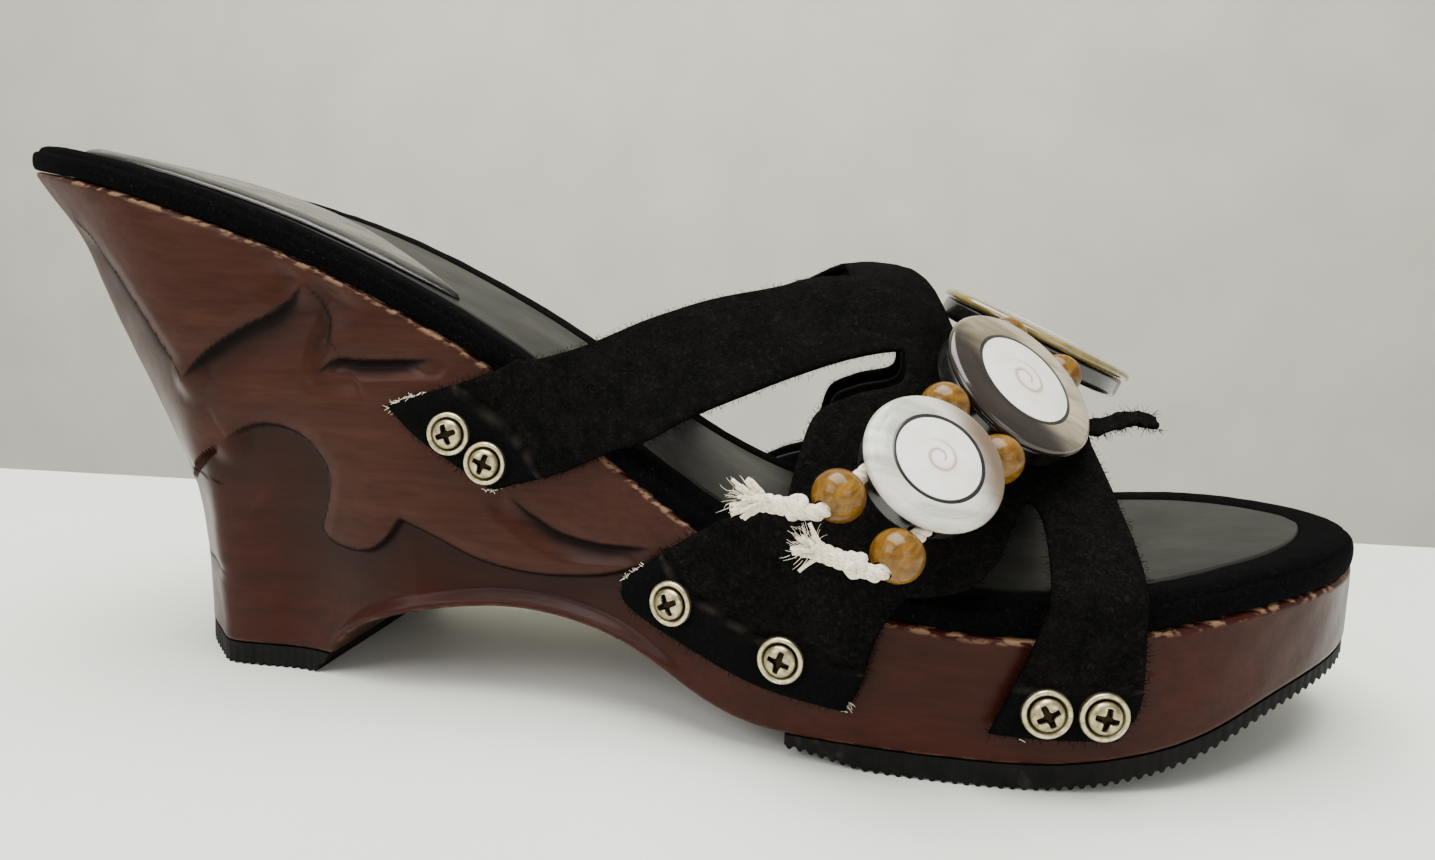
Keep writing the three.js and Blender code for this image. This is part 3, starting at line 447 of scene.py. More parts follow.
def horn_look(name="black_horn", tint=(8, 7, 7)):
    look = Look(name, Coat_Weight=0.5, Coat_Roughness=0.12)
    cloud = look.noise(3, 4)
    tone = look.ramp(cloud, (0.35, srgb(*tint)), (0.75, srgb(*(v + 16 for v in tint))))
    return look.finish(tone, look.ramp(cloud, (0.3, 0.22), (0.7, 0.34)), look.bump(cloud, 0.1, 0.1))


def amber_look():
    look = Look("amber_shell", Coat_Weight=0.8, Coat_Roughness=0.06, Transmission_Weight=0.25, IOR=1.53)
    cloud = look.noise(6, 3, distortion=0.5)
    tone = look.ramp(cloud, (0.32, srgb(96, 80, 34)), (0.55, srgb(134, 116, 58)), (0.75, srgb(168, 152, 98)))
    return look.finish(tone, look.ramp(cloud, (0.3, 0.12), (0.7, 0.24)))


def bead_look():
    look = Look("bead_wood", Coat_Weight=0.3, Coat_Roughness=0.06, Specular_IOR_Level=0.15)
    seat = look.attribute("seat", "Vector")
    long = look.node("Mapping", {"Vector": seat, "Scale": (1, 1, 0.22)}).outputs["Vector"]
    grain = look.noise(1.1, 5, vector=long, distortion=0.5)
    tone = look.ramp(grain, (0.3, srgb(76, 50, 8)), (0.5, srgb(104, 72, 16)), (0.74, srgb(134, 98, 36)))
    spots = look.ramp(look.noise(2.4, 5, vector=seat, distortion=0.8), (0.54, 0.0), (0.68, 0.7))
    tone = look.mix(spots, tone, srgb(104, 62, 28))
    return look.finish(tone, look.ramp(grain, (0.3, 0.34), (0.7, 0.2)), look.bump(grain, 0.1, 0.08))


def cotton_look():
    look = Look("cotton_cord", Sheen_Weight=0.4, Specular_IOR_Level=0.15)
    fibre = look.noise(0.25, 4, stretch=(0.4, 1, 1))
    shade, yarn, light = srgb(176, 160, 130), srgb(226, 215, 190), srgb(246, 240, 224)
    tone = look.ramp(fibre, (0.3, shade), (0.5, yarn), (0.75, light))
    return look.finish(tone, 0.95, look.bump(fibre, 0.5, 0.12))


def foam_look():
    look = Look("footbed_foam", Specular_IOR_Level=0.1)
    cell = look.noise(0.6, 4)
    tone = look.ramp(cell, (0.35, srgb(24, 23, 22)), (0.7, srgb(46, 44, 42)))
    return look.finish(tone, 0.95, look.bump(cell, 0.6, 0.3))


def ground_look(name, low, high, roughness):
    look = Look(name, Specular_IOR_Level=0.25)
    cloud = look.noise(120, 3)
    tone = look.ramp(cloud, (0.35, low), (0.7, high))
    return look.finish(tone, roughness, look.bump(look.noise(1.5, 3), 0.04, 0.1))


WOOD = wood_look()
VELVET = velvet_look()
SOCK = leather_look("footbed_leather", grey(12), srgb(21, 21, 20))
LINING = leather_look("lining_leather", grey(9), grey(16), 0.5)
SUEDE = suede_look()
RUBBER = rubber_look()
GEL = gel_look()
WASHER = brass_look("brass_washer", srgb(150, 140, 106), srgb(196, 188, 152), srgb(222, 216, 188))
SCREW = brass_look("brass_screw", srgb(120, 110, 82), srgb(176, 166, 130), srgb(206, 198, 170))
OPERCULUM = operculum_look()
HORN = horn_look()
RESIN = horn_look("black_resin", (10, 9, 7))
BEAD = bead_look()
COTTON = cotton_look()
FOAM = foam_look()
SHELLS = [
    shell_look("pearl_shell_grey", srgb(212, 213, 206), srgb(166, 161, 146), srgb(92, 72, 50), 0.95),
    shell_look("pearl_shell_brown", srgb(172, 164, 142), srgb(96, 76, 52), srgb(24, 12, 5), 0.98),
    amber_look(),
]


# ------------------------------------------------------------------ shape of the platform
def angle_at(x):
    return np.arccos(np.clip(-np.asarray(x, float) / HALF, -1, 1))


def by_angle(knots):
    return spline([(float(angle_at(x)), y) for x, y in knots])


OUTER_HALF = by_angle([
    (-121.5, 0), (-117, 14), (-104, 24.5), (-88, 29.5), (-60, 30.5), (-30, 29.5), (-5, 31), (15, 37),
    (40, 42.5), (60, 43.5), (80, 40.8), (98, 32), (112, 18.5), (119, 5.5), (121.5, -6),
])
INNER_HALF = by_angle([
    (-121.5, 0), (-117, 14), (-104, 24), (-88, 29), (-60, 28.5), (-30, 27), (-10, 28), (10, 32),
    (30, 38), (50, 42.5), (66, 43.5), (90, 40), (108, 31), (117, 20.5), (121.5, 6),
])
top_height = spline([
    (-121.5, 87.5), (-100, 84.6), (-80, 80), (-60, 73.7), (-40, 65), (-20, 54), (0, 40.5), (15, 31.8),
    (28, 26.4), (42, 23.2), (58, 22), (72, 22.9), (88, 25.4), (105, 27.5), (121.5, 28.5),
])
heel_shift = spline([(4, 32.8), (21, 32.3), (31, 30.8), (37, 28.8), (51, 22.3), (66, 14), (78, 7), (87.5, 0)])
SPRING_BACK = 58
arch_height = spline([
    (-53, 4), (-51, 6.4), (-43, 11.8), (-31, 15), (-19, 16.2), (-5, 14.6), (3, 12.2), (9, 9.4), (15, 6.5),
    (21, 4.6), (27, 3.9), (32, 3.8),
])
toe_spring = spline([
    (SPRING_BACK, 0), (68, 0.5), (75, 1.5), (83, 3.2), (90, 5.6), (97, 8.6), (108, 11.6), (121.5, 13),
])
ARCH_BACK = -53.0
ARCH_FRONT = 32.0
SHIFT_END = -60


def half_width(x, side):
    angle = angle_at(x)
    return np.where(np.asarray(side) < 0, OUTER_HALF(angle), INNER_HALF(angle))


def spring_at(x):
    return np.where(x > SPRING_BACK, toe_spring(x), 0)


def underside_height(x):
    front = SOLE_THICKNESS + spring_at(x)
    return np.where(x < ARCH_BACK, LIFT_THICKNESS, np.where(x < ARCH_FRONT, arch_height(x), front))


def wall_x(x0, z):
    return x0 + heel_shift(z) * smooth(SHIFT_END, -HALF, x0)


def top_of(x0):
    z = top_height(x0)
    for _ in range(6):
        z = top_height(wall_x(x0, z))
    return z


def underside_of(x0):
    z = underside_height(x0)
    for _ in range(12):
        z = 0.5 * (z + underside_height(wall_x(x0, z)))
    return z


def plan_points(x0, side, z):
    """Plan of the wall at height z: the heel block narrows towards the ground."""
    taper = 0.24 * (1 - smooth(0, 62, z)) * smooth(-36, -62, x0)
    return np.column_stack([wall_x(x0, z), side * half_width(x0, side) * (1 - taper)])


def stations(spacing, fine=None, fine_from=-110, fine_to=12):
    """Stations with about equal steps round the outline, closer where the heel is carved."""
    angle = np.linspace(0, math.pi, 6000)
    x = -HALF * np.cos(angle)
    outline = np.column_stack([x, OUTER_HALF(angle)])
    step = np.linalg.norm(np.diff(outline, axis=0), axis=1)
    middle = 0.5 * (x[1:] + x[:-1])
    wanted = np.full(len(step), float(spacing))
    if fine:
        wanted[(middle > fine_from) & (middle < fine_to)] = fine
    total = np.concatenate([[0], np.cumsum(step / wanted)])
    count = int(total[-1]) + 1
    return np.interp(np.linspace(0, total[-1], count + 1), total, x)


def ring_of(xs):
    """Stations and sides round the plan: outer side to the toe, back on the inner side."""
    return np.concatenate([xs, xs[-2:0:-1]]), np.concatenate([-np.ones(len(xs)), np.ones(len(xs) - 2)])


def inward_of(points):
    along = np.roll(points, -1, axis=0) - np.roll(points, 1, axis=0)
    return unit(np.column_stack([-along[:, 1], along[:, 0]]))


# Carved steps of the heel, as (depth, how far it fades, width of the painted shadow along the cut, knots).
# The wood is cut away on each line's right-hand side.
TONGUE_LINE = [
    (-70, 41), (-65, 44), (-60, 44.5), (-55, 42.5), (-51.5, 38), (-51, 34), (-52, 30), (-53, 27), (-52, 25),
    (-48.5, 24), (-44.5, 24), (-41, 26), (-38, 30),
]
WAVE_LINE = [(-38, 30), (-32, 27.5), (-24, 24), (-15, 22.5), (-6, 23), (0, 24.5), (6, 27)]
CARVED_STEPS = [
    (1.7, 15, 3.6, [(-101, 78), (-93, 70.5), (-85, 62), (-80, 56), (-76.5, 51.5)]),
    (1.9, 13, 3.4, [(-76.5, 51.5), (-72, 56), (-65, 60.5), (-59, 63.5), (-54, 68)]),
    (1.5, 9, 1.3, [(-54, 68), (-51.5, 65.5), (-49.5, 62), (-49.5, 59), (-48, 56.5)]),
    (1.3, 5, 3.2, [(-18.5, 34.5), (-15, 32), (-10, 29.5), (-3, 28.5), (5.5, 29)]),
    (1.6, 3.8, 4.0, [(-52.5, 53.5), (-48.5, 56), (-44, 56), (-32.5, 56.5)]),
    (0.35, 2, 0.8, [(-84, 35.5), (-76, 34), (-71.5, 33)]),
    (0.35, 2, 0.8, [(-84, 17.5), (-76, 17), (-71, 16)]),
]
CARVED_CURVES = [(*step, rounded_line(knots)) for *step, knots in CARVED_STEPS]
LEAF_CURVE = np.vstack([rounded_line(TONGUE_LINE), rounded_line(WAVE_LINE)[1:]])
CARVED_CURVES.append((2.0, 22, 1.2, LEAF_CURVE))
# Above this line the raised leaves take the lighter painted-sheen tone.
PROUD_CURVE = np.vstack([[(-100, 34), (-80, 38)], LEAF_CURVE, [(22, 36), (60, 60)]])


def carving(x, z):
    """Depth of the carving, how far a point lies in a recess (painted shade there), how near it is to a cut
    line (painted shadow along it), and the raised area that takes a painted sheen.
    """
    points = np.column_stack([x, z])
    depth = np.zeros(len(x))
    recess = np.zeros(len(x))
    groove = np.zeros(len(x))
    for deepest, fade, dark, line in CARVED_CURVES:
        away, side = polyline_distance(points, line)
        signed = away * side
        to_end = np.minimum(*(np.linalg.norm(points - end, axis=1) for end in (line[0], line[-1])))
        open_ended = smooth(0.05, 5.0, to_end)
        cut = smooth(-0.15, 0.75, signed) * (1 - smooth(0.8, fade, signed))
        lip = 0.45 * smooth(-2.6, 0, signed) * (signed < 0.05)
        past_end = np.clip(1.15 - away / np.maximum(to_end, 1e-6), 0, 0.15) / 0.15
        depth = np.maximum(depth, deepest * cut * open_ended * past_end)
        depth = np.maximum(depth, lip * open_ended * past_end)
        # Painted shade in the recess below each cut, fading over part of the step.
        recess_shade = smooth(-0.1, 0.5, signed) * (1 - smooth(0.5, 0.7 * fade, signed))
        recess = np.maximum(recess, recess_shade * open_ended * past_end)
        # Painted shadow along each cut line, narrower near the line's ends.
        width = dark * (0.2 + 0.8 * smooth(0, 9, to_end))
        shadow = smooth(-0.3, 0.1, signed) * (1 - smooth(0.15 * width, width, signed))
        groove = np.maximum(groove, 0.97 * shadow * smooth(-0.6, 1.5, to_end) * past_end)
    # Raised side of the leaf line: where the painted sheen goes.
    proud_away, proud_side = polyline_distance(points, PROUD_CURVE)
    proud_sheen = smooth(0.8, -0.8, proud_away * proud_side)
    return depth, recess, groove, proud_sheen


def edge_round(distance, radius):
    inside = np.clip(radius - distance, 0, radius)
    return radius - np.sqrt(radius ** 2 - inside ** 2)


def build_platform():
    """Wooden block as a stack of outlines, moved inward by the carving and the rounded edges."""
    x0, side = ring_of(stations(1.3, 0.55))
    top = top_of(x0)
    under = underside_of(x0)
    near = np.array([0, 0.12, 0.35, 0.7, 1.1])
    levels = [under + d for d in near]
    levels += [under + 1.1 + (top - under - 2.2) * t for t in np.linspace(0, 1, 124)[1:-1]]
    levels += [top - d for d in near[::-1]]
    points, recess, groove, proud_sheen, wear = [], [], [], [], []
    for z in levels:
        plan = plan_points(x0, side, z)
        inward = inward_of(plan)
        depth, recess_shade, line, high = carving(plan[:, 0], z)
        fade = smooth(1, 3.5, top - z) * smooth(0.5, 3, z - under)
        ripple = 0.12 * rough(np.column_stack([plan, z]), 9)
        move = depth * fade + edge_round(top - z, 1.0) + edge_round(z - under, 0.9) + ripple * fade
        plan = plan + inward * move[:, None]
        points.append(np.column_stack([plan, z]))
        recess.append(recess_shade * fade)
        groove.append(line * fade)
        proud_sheen.append(high * smooth(24, 0, plan[:, 0]))
        wear.append(np.maximum(1 - smooth(0.2, 1.25, top - z), 0.2 * (1 - smooth(0.1, 0.8, z - under))))
    count = len(x0)
    faces = [list(f) for f in grid_faces(len(levels), count, wrap_columns=True)]
    last = (len(levels) - 1) * count
    for k in range(count // 2):
        near_pair = [k, k + 1]
        far_pair = [(count - k) % count, count - k - 1]
        faces.append([near_pair[0], far_pair[0], far_pair[1], near_pair[1]])
        faces.append([last + near_pair[0], last + near_pair[1], last + far_pair[1], last + far_pair[0]])
    faces = [list(dict.fromkeys(face)) for face in faces]
    # Marks for the wood: painted shade in the recesses, a painted shadow along each cut, a painted sheen on
    # the raised leaves, and real wear along the top and bottom edges.
    marks = {"recess": recess, "groove": groove, "proud_sheen": proud_sheen, "wear": wear}
    marks = {key: np.concatenate(values) for key, values in marks.items()}
    make_piece("carved_platform", np.vstack(points), faces, WOOD, "carved_wood", ["wooden_platform"],
               sharp=50, **marks)


# ------------------------------------------------------------------ footbed
def top_ring(xs, inset, lift):
    x0, side = ring_of(xs)
    plan = plan_points(x0, side, top_of(x0))
    plan = plan + inward_of(plan) * inset
    return np.column_stack([plan, top_height(plan[:, 0]) + lift])


def across_rows(ring, columns):
    """Rows across the shoe between the two halves of a ring, ends left out."""
    half = len(ring) // 2
    left = ring[1:half]
    right = ring[-1:-half:-1]
    t = (0.5 - 0.5 * np.cos(np.linspace(0, math.pi, columns)))[None, :, None]
    return left[:, None, :] * (1 - t) + right[:, None, :] * t


def repeated(values, columns):
    """A column of values, repeated across a grid."""
    return np.repeat(values[:, None], columns, 1)


def slab(name, upper, lower, material, slot, replaces, sharp=None, **attributes):
    """Closed sheet between two grids of points (rows, columns, 3)."""
    rows, columns = upper.shape[:2]
    total = rows * columns
    faces = [list(f[::-1]) for f in grid_faces(rows, columns)]
    faces += [[i + total for i in f[::-1]] for f in faces]
    edge = list(range(columns)) + [r * columns + columns - 1 for r in range(1, rows)]
    edge += [(rows - 1) * columns + c for c in range(columns - 2, -1, -1)]
    edge += [r * columns for r in range(rows - 2, 0, -1)]
    for a, b in zip(edge, edge[1:] + edge[:1]):
        faces.append([a, b, b + total, a + total])
    points = np.vstack([upper.reshape(-1, 3), lower.reshape(-1, 3)])
    doubled = {key: np.concatenate([value, value]) for key, value in attributes.items()}
    return make_piece(name, points, faces, material, slot, replaces, sharp=sharp, **doubled)


def ring_depth(rows):
    """Distance of each point of a grid from its nearest border, in millimetres."""
    span = np.linalg.norm(rows - rows[:, :1], axis=2)
    far = span[:, -1:]
    ends = np.linalg.norm(rows[:, :, :2] - rows[:1, :, :2], axis=2).min(axis=1, keepdims=True)
    tail = np.linalg.norm(rows[:, :, :2] - rows[-1:, :, :2], axis=2).min(axis=1, keepdims=True)
    return np.minimum(np.minimum(span, far - span), np.minimum(ends, tail) + 1)


def build_foam():
    """Padding between the wood and the sock."""
    rows = across_rows(top_ring(stations(3.0), 3.0, 0), 18)
    low = rows + [0, 0, 0.3]
    high = rows + [0, 0, 3.3]
    foam = slab("footbed_foam_layer", high, low, FOAM, "footbed_foam", ["footbed_foam"], sharp=40)


def build_sock():
    """Leather sock, worn into shallow dips under the ball and the heel."""
    rows = across_rows(top_ring(stations(1.4), 7.6, 0), 60)
    inside = ring_depth(rows)
    flat = rows.reshape(-1, 3)
    swell = rough(flat[:, :2], 17, 0.6).reshape(inside.shape) * 0.12
    x = rows[:, :, 0]
    dip = -0.9 * np.exp(-((x - 58) / 26) ** 2) * smooth(4, 24, inside)
    cup = -0.7 * np.exp(-((x + 84) / 22) ** 2) * smooth(2, 16, inside)
    lift = 3.75 + 0.85 * smooth(0, 1.8, inside) + (swell + dip + cup) * smooth(0.5, 6, inside)
    high = rows.copy()
    high[:, :, 2] += np.maximum(lift, 3.72)
    low = rows + [0, 0, 3.6]
    slab("footbed_sock", high, low, SOCK, "footbed_leather", ["footbed_leather"], sharp=60)


RAND_SECTION = [
    (0.5, 0.3), (0.12, 0.5), (-0.1, 1.1), (-0.16, 1.9), (-0.12, 2.7), (0.08, 3.35), (0.42, 3.7),
    (0.85, 3.72), (0.95, 3.95), (1.3, 4.5), (2.0, 4.9), (3.2, 5.05), (4.8, 5.0), (6.3, 4.9),
    (7.4, 4.75), (8.1, 4.4), (8.25, 3.95), (7.9, 3.66), (5.2, 3.6), (2.6, 3.6), (2.6, 0.3),
]


# The section's first points are outside the sock and take the velvet's unevenness.
RAND_SHOWN = 17


def build_rand():
    """Velvet folded over the padding's edge, as a closed section swept round the sole."""
    xs = stations(0.8)
    rings = []
    for k, (inset, lift) in enumerate(RAND_SECTION):
        ring = top_ring(xs, inset, lift)
        if k < RAND_SHOWN:
            ring[:, 2] += 0.09 * rough(ring, 3.2, 0.3 * k) + 0.1 * rough(ring, 11, 0.2)
            ring[:, 1] += 0.07 * rough(ring, 2.6, 1.0) * np.sign(ring[:, 1])
        rings.append(ring)
    faces = grid_faces(len(rings), len(rings[0]), wrap_rows=True, wrap_columns=True)[:, ::-1]
    rand = make_piece("velvet_band", np.vstack(rings), faces, VELVET, "black_velvet", ["velvet_rand"])


GEL_BACK = -112
GEL_FRONT = -33
GEL_COLUMNS = 34


def gel_angle(x):
    t = 2 * (np.asarray(x, float) - GEL_BACK) / (GEL_FRONT - GEL_BACK) - 1
    return np.arccos(np.clip(-t, -1, 1))


gel_outer_edge = spline([(float(gel_angle(x)), y) for x, y in [
    (GEL_BACK, -3), (-105, -14), (-90, -19.5), (-70, -21), (-50, -20.5), (-38, -18.5), (GEL_FRONT, -16.5)]])
gel_inner_edge = spline([(float(gel_angle(x)), y) for x, y in [
    (GEL_BACK, -3), (-105, 7), (-90, 11), (-75, 9), (-60, 2.5), (-46, -6), (-36, -13), (GEL_FRONT, -16.5)]])


def build_gel():
    """Clear grip with a rounded border, stuck on the sock at the heel."""
    t = np.linspace(0.012, 0.988, 110)
    x = GEL_BACK + (GEL_FRONT - GEL_BACK) * (1 - np.cos(math.pi * t)) / 2
    share = 0.5 - 0.5 * np.cos(np.linspace(0, math.pi, GEL_COLUMNS))
    y = gel_outer_edge(gel_angle(x))[:, None] * (1 - share) + gel_inner_edge(gel_angle(x))[:, None] * share
    grid = np.stack([repeated(x, GEL_COLUMNS), y, repeated(top_height(x), GEL_COLUMNS)], 2)
    inside = ring_depth(grid)
    high = grid.copy()
    high[:, :, 2] += 4.95 + 1.25 * np.sqrt(np.clip(inside / 3.2, 0, 1)) + 0.06 * rough(
        grid.reshape(-1, 3)[:, :2], 6).reshape(inside.shape)
    low = grid + [0, 0, 4.8]
    slab("gel_heel_grip", high, low, GEL, "clear_gel", ["heel_gel_pad"])


# ------------------------------------------------------------------ rubber soles
RIB_PITCH = 1.6


def rib(x):
    """Ribs across the tread, from 0 in a groove to 1 on a rib."""
    wave = 0.5 + 0.5 * np.cos(2 * math.pi * x / RIB_PITCH)
    return smooth(0.25, 0.75, wave)


def tread_rows(x, left, right, low, high, inset, columns=9):
    """Upper and lower grids of a ribbed sole; the grooves cut into its side and its foot."""
    cut = 0.1 * (1 - rib(x))
    a = left + inset + cut
    b = right - inset - cut
    share = np.linspace(0, 1, columns)
    y = a[:, None] * (1 - share) + b[:, None] * share
    foot = np.minimum(low + 0.5 * (1 - rib(x)), high - 0.3)
    return [np.stack([repeated(x, columns), y, repeated(z, columns)], 2) for z in (high, foot)]


def build_toe_sole():
    """Ribbed sole under the forefoot; it thins towards the toe and feathers out at its back."""
    back = 28.0
    x = np.concatenate([np.arange(back, 112, 0.2), 112 + 8.7 * np.sin(np.linspace(0, math.pi / 2, 40))])
    full = smooth(back, back + 14, x)
    spring = spring_at(x)
    thickness = SOLE_THICKNESS - 1.2 * smooth(68, 100, x)
    high = SOLE_THICKNESS - 0.15 + spring
    low = (1 - full) * (SOLE_THICKNESS - 2.2) + SOLE_THICKNESS + spring - thickness
    low = np.maximum(low, 0)
    left = -np.maximum(half_width(x, -1), -5.9)
    right = half_width(x, 1)
    upper, lower = tread_rows(x, left, right, low, high, 0.35)
    slab("ribbed_toe_sole", upper, lower, RUBBER, "black_rubber", ["toe_outsole"], sharp=35)


def station_for(x, z):
    low, high = -HALF, HALF
    for _ in range(40):
        middle = (low + high) / 2
        if wall_x(middle, z) < x:
            low = middle
        else:
            high = middle
    return (low + high) / 2


def build_heel_lift():
    """Rubber lift that follows the foot of the heel block."""
    back = -HALF + float(heel_shift(LIFT_THICKNESS)) + 0.3
    front = ARCH_BACK - 0.3
    t = np.linspace(0, 1, 150)
    x = back + (front - back) * (1 - np.cos(math.pi / 2 * t))
    x0 = np.array([station_for(v, LIFT_THICKNESS) for v in x])
    high = np.full(len(x), LIFT_THICKNESS - 0.1)
    left = plan_points(x0, -1, LIFT_THICKNESS)[:, 1]
    right = plan_points(x0, 1, LIFT_THICKNESS)[:, 1]
    low = np.maximum(0, (x - (front - 3)) / 3 * 3.2)
    low = np.minimum(low, LIFT_THICKNESS - 0.5)
    upper, lower = tread_rows(x, left, right, low, high, 0.2)
    slab("rubber_heel_lift", upper, lower, RUBBER, "black_rubber", ["heel_lift"], sharp=35)


# ------------------------------------------------------------------ shape of the upper
crest_height = spline([
    (-60, 78), (-20, 77), (20, 73.5), (30, 72.5), (37, 73), (42, 72.5), (46.5, 69.4), (50.5, 61.8),
    (54, 57.6), (58, 55.2), (63, 54), (70, 53.4), (85, 48), (110, 40),
])
arch_power = spline([(-40, 1.5), (34, 1.5), (54, 1.3), (75, 1.3)])


def last_base(x, v, side):
    """Point of the last surface. v is -1 at the ground, 0 above the rand and 1 at the crest."""
    x, v = np.broadcast_arrays(np.asarray(x, float), np.asarray(v, float))
    across = np.where(v > 1, -side, side)
    up = np.where(v > 1, 2 - v, v)
    springing = top_height(x) + RAND_HEIGHT + 0.6
    half = half_width(x, across)
    turn = np.clip(up, 0, 1) * math.pi / 2
    power = 2 / arch_power(x)
    out = np.where(up <= 0, 1, np.maximum(np.cos(turn), 0) ** power)
    rise = np.sin(turn) ** power
    z = np.where(up <= 0, springing * (1 + up), springing + (crest_height(x) - springing) * rise)
    return np.stack([x, across * half * out, z], -1)


def last_normal(x, v, side):
    x, v = np.broadcast_arrays(np.asarray(x, float), np.asarray(v, float))
    here = np.where((v > 0.97) & (v < 1.03), 0.97, v)
    along_x = last_base(x + 0.2, here, side) - last_base(x - 0.2, here, side)
    along_v = last_base(x, here + 0.01, side) - last_base(x, here - 0.01, side)
    normal = unit(np.cross(along_x, along_v)) * (-1 if side > 0 else 1)
    blend = here != v
    normal[..., 1] = np.where(blend, normal[..., 1] * (1 - v) / 0.03, normal[..., 1])
    return unit(normal)


def last_point(x, v, side, lift):
    lift = np.asarray(lift, float)
    return last_base(x, v, side) + last_normal(x, v, side) * lift[..., None]


REAR_END = [(-39, -0.3), (-33, -0.35), (-21, -0.4)]
REAR_LOWER = [(-21, -0.4), (-10, -0.25), (0, -0.04), (10, 0.2), (20, 0.36), (30, 0.48), (42.5, 0.57)]
LOBE = [(42.5, 0.57), (42, 0.49), (35, 0.43), (30, 0.37), (28, 0.26), (27, 0.15)]
MIDDLE_UPPER = [(27, 0.15), (20, 0.05), (14, -0.12), (8, -0.3), (2, -0.46)]
MIDDLE_END = [(2, -0.46), (3, -0.54), (14, -0.6), (25, -0.655), (37, -0.67)]
MIDDLE_FRONT = [(37, -0.67), (39, -0.52), (41, -0.25), (44.5, -0.03)]
CROTCH = [(44.5, -0.03), (51.5, 0.04), (56, 0.16), (59.5, 0.32), (61.5, 0.38), (63.5, 0.3), (63.5, 0.03),
          (61, -0.26), (56.5, -0.67)]
FRONT_END = [(56.5, -0.67), (65, -0.68), (73.5, -0.68)]
FRONT_EDGE = [(73.5, -0.68), (76.5, -0.5), (76.5, -0.1), (76, 0.2), (72.5, 0.57)]
OUTER_SEAM = [(72.5, 0.57), (71.5, 0.82), (62, 0.8), (48, 0.745), (41, 0.73), (34, 0.775), (25, 0.76)]
INNER_SEAM = [(72.5, 0.57), (72, 0.8), (71.5, 1), (71.5, 1.13), (62, 1.16), (48, 1.29), (41, 1.3), (34, 1.25)]
REAR_UPPER = [(19, 0.68), (10, 0.57), (0, 0.41), (-10, 0.19), (-18, -0.02), (-27, -0.165), (-39, -0.3)]
TAB_ENDS = [REAR_END, MIDDLE_END, FRONT_END]
V_SCALE = 50.0


def cut_edges(side):
    crest = [(25, 0.76)] if side < 0 else [(34, 1.25), (32, 1), (26, 0.83)]
    seam = OUTER_SEAM if side < 0 else INNER_SEAM
    return [REAR_END, REAR_LOWER, LOBE, MIDDLE_UPPER, MIDDLE_END, MIDDLE_FRONT, CROTCH, FRONT_END,
            FRONT_EDGE, seam, crest + REAR_UPPER]


def flat_line(knots):
    return rounded_line([(x, v * V_SCALE) for x, v in knots], 8)


def cut_outline(side, step):
    line = np.vstack([flat_line(knots)[:-1] for knots in cut_edges(side)])
    closed = np.vstack([line, line[:1]])
    length = np.concatenate([[0], np.cumsum(np.linalg.norm(np.diff(closed, axis=0), axis=1))])
    at = np.arange(0, length[-1] - 0.4 * step, step)
    return np.column_stack([np.interp(at, length, closed[:, k]) for k in (0, 1)])


def offset_ring(outline, distance):
    """Points moved into the outline, less those that come too near it again."""
    moved = outline + inward_of(outline) * distance
    closed = np.vstack([outline, outline[:1]])
    away, _ = polyline_distance(moved, closed)
    return moved[away > 0.93 * distance]


def inside_outline(points, outline):
    crossings = np.zeros(len(points), int)
    for a, b in zip(outline, np.roll(outline, -1, axis=0)):
        over = (a[1] > points[:, 1]) != (b[1] > points[:, 1])
        with np.errstate(divide="ignore", invalid="ignore"):
            x = (b[0] - a[0]) * (points[:, 1] - a[1]) / (b[1] - a[1]) + a[0]
        crossings += over & (points[:, 0] < x)
    return crossings % 2 == 1


def flat_cut(side, step, inset=0.0, edge=(0.25, 0.6)):
    """Flat points and triangles of a piece, with how many of them are its outline."""
    outline = cut_outline(side, step)
    if inset:
        outline = offset_ring(outline, inset)
    closed = np.vstack([outline, outline[:1]])
    rings = [offset_ring(outline, d) for d in edge]
    low, high = outline.min(0), outline.max(0)
    gx, gy = np.meshgrid(np.arange(low[0], high[0], step * 1.7), np.arange(low[1], high[1], step * 1.6))
    gx[1::2] += step * 0.85
    grid = np.column_stack([gx.ravel(), gy.ravel()])
    grid = grid[inside_outline(grid, outline)]
    away, _ = polyline_distance(grid, closed)
    grid = grid[away > edge[-1] + 0.6 * step]
    points = np.vstack([outline, *rings, grid])
    count = len(outline)
    edges = [(k, (k + 1) % count) for k in range(count)]
    made = delaunay_2d_cdt([Vector(p) for p in points], edges, [], 1, 1e-5)
    flat = np.array([tuple(p) for p in made[0]])
    away, _ = polyline_distance(flat, closed)
    return flat, [list(face) for face in made[2]], away, outline


def raise_at_crossing(flat):
    """The outer strap lies over the inner one near their seam."""
    away, _ = polyline_distance(flat, flat_line(OUTER_SEAM))
    return 1.35 * smooth(7, 1.5, away) * smooth(60, 50, flat[:, 0]) * smooth(22, 30, flat[:, 0])


def tab_strip(flat):
    """Where a tab's strip lies, the crease along its upper side, and a pale line just inside that edge for a
    painted highlight with some edge wear.
    """
    strip = np.zeros(len(flat))
    crease = np.zeros(len(flat))
    worn = np.zeros(len(flat))
    for knots, width in zip(TAB_ENDS, (10.5, 11.5, 13.5)):
        away, _ = polyline_distance(flat, flat_line(knots))
        strip = np.maximum(strip, 1 - smooth(width - 0.7, width, away))
        crease = np.maximum(crease, np.exp(-((away - width) / 0.45) ** 2))
        # Pale line just inside the crease: painted highlight, partly edge wear.
        worn = np.maximum(worn, np.exp(-((away - width + 0.75) / 0.35) ** 2))
    return strip, crease, worn


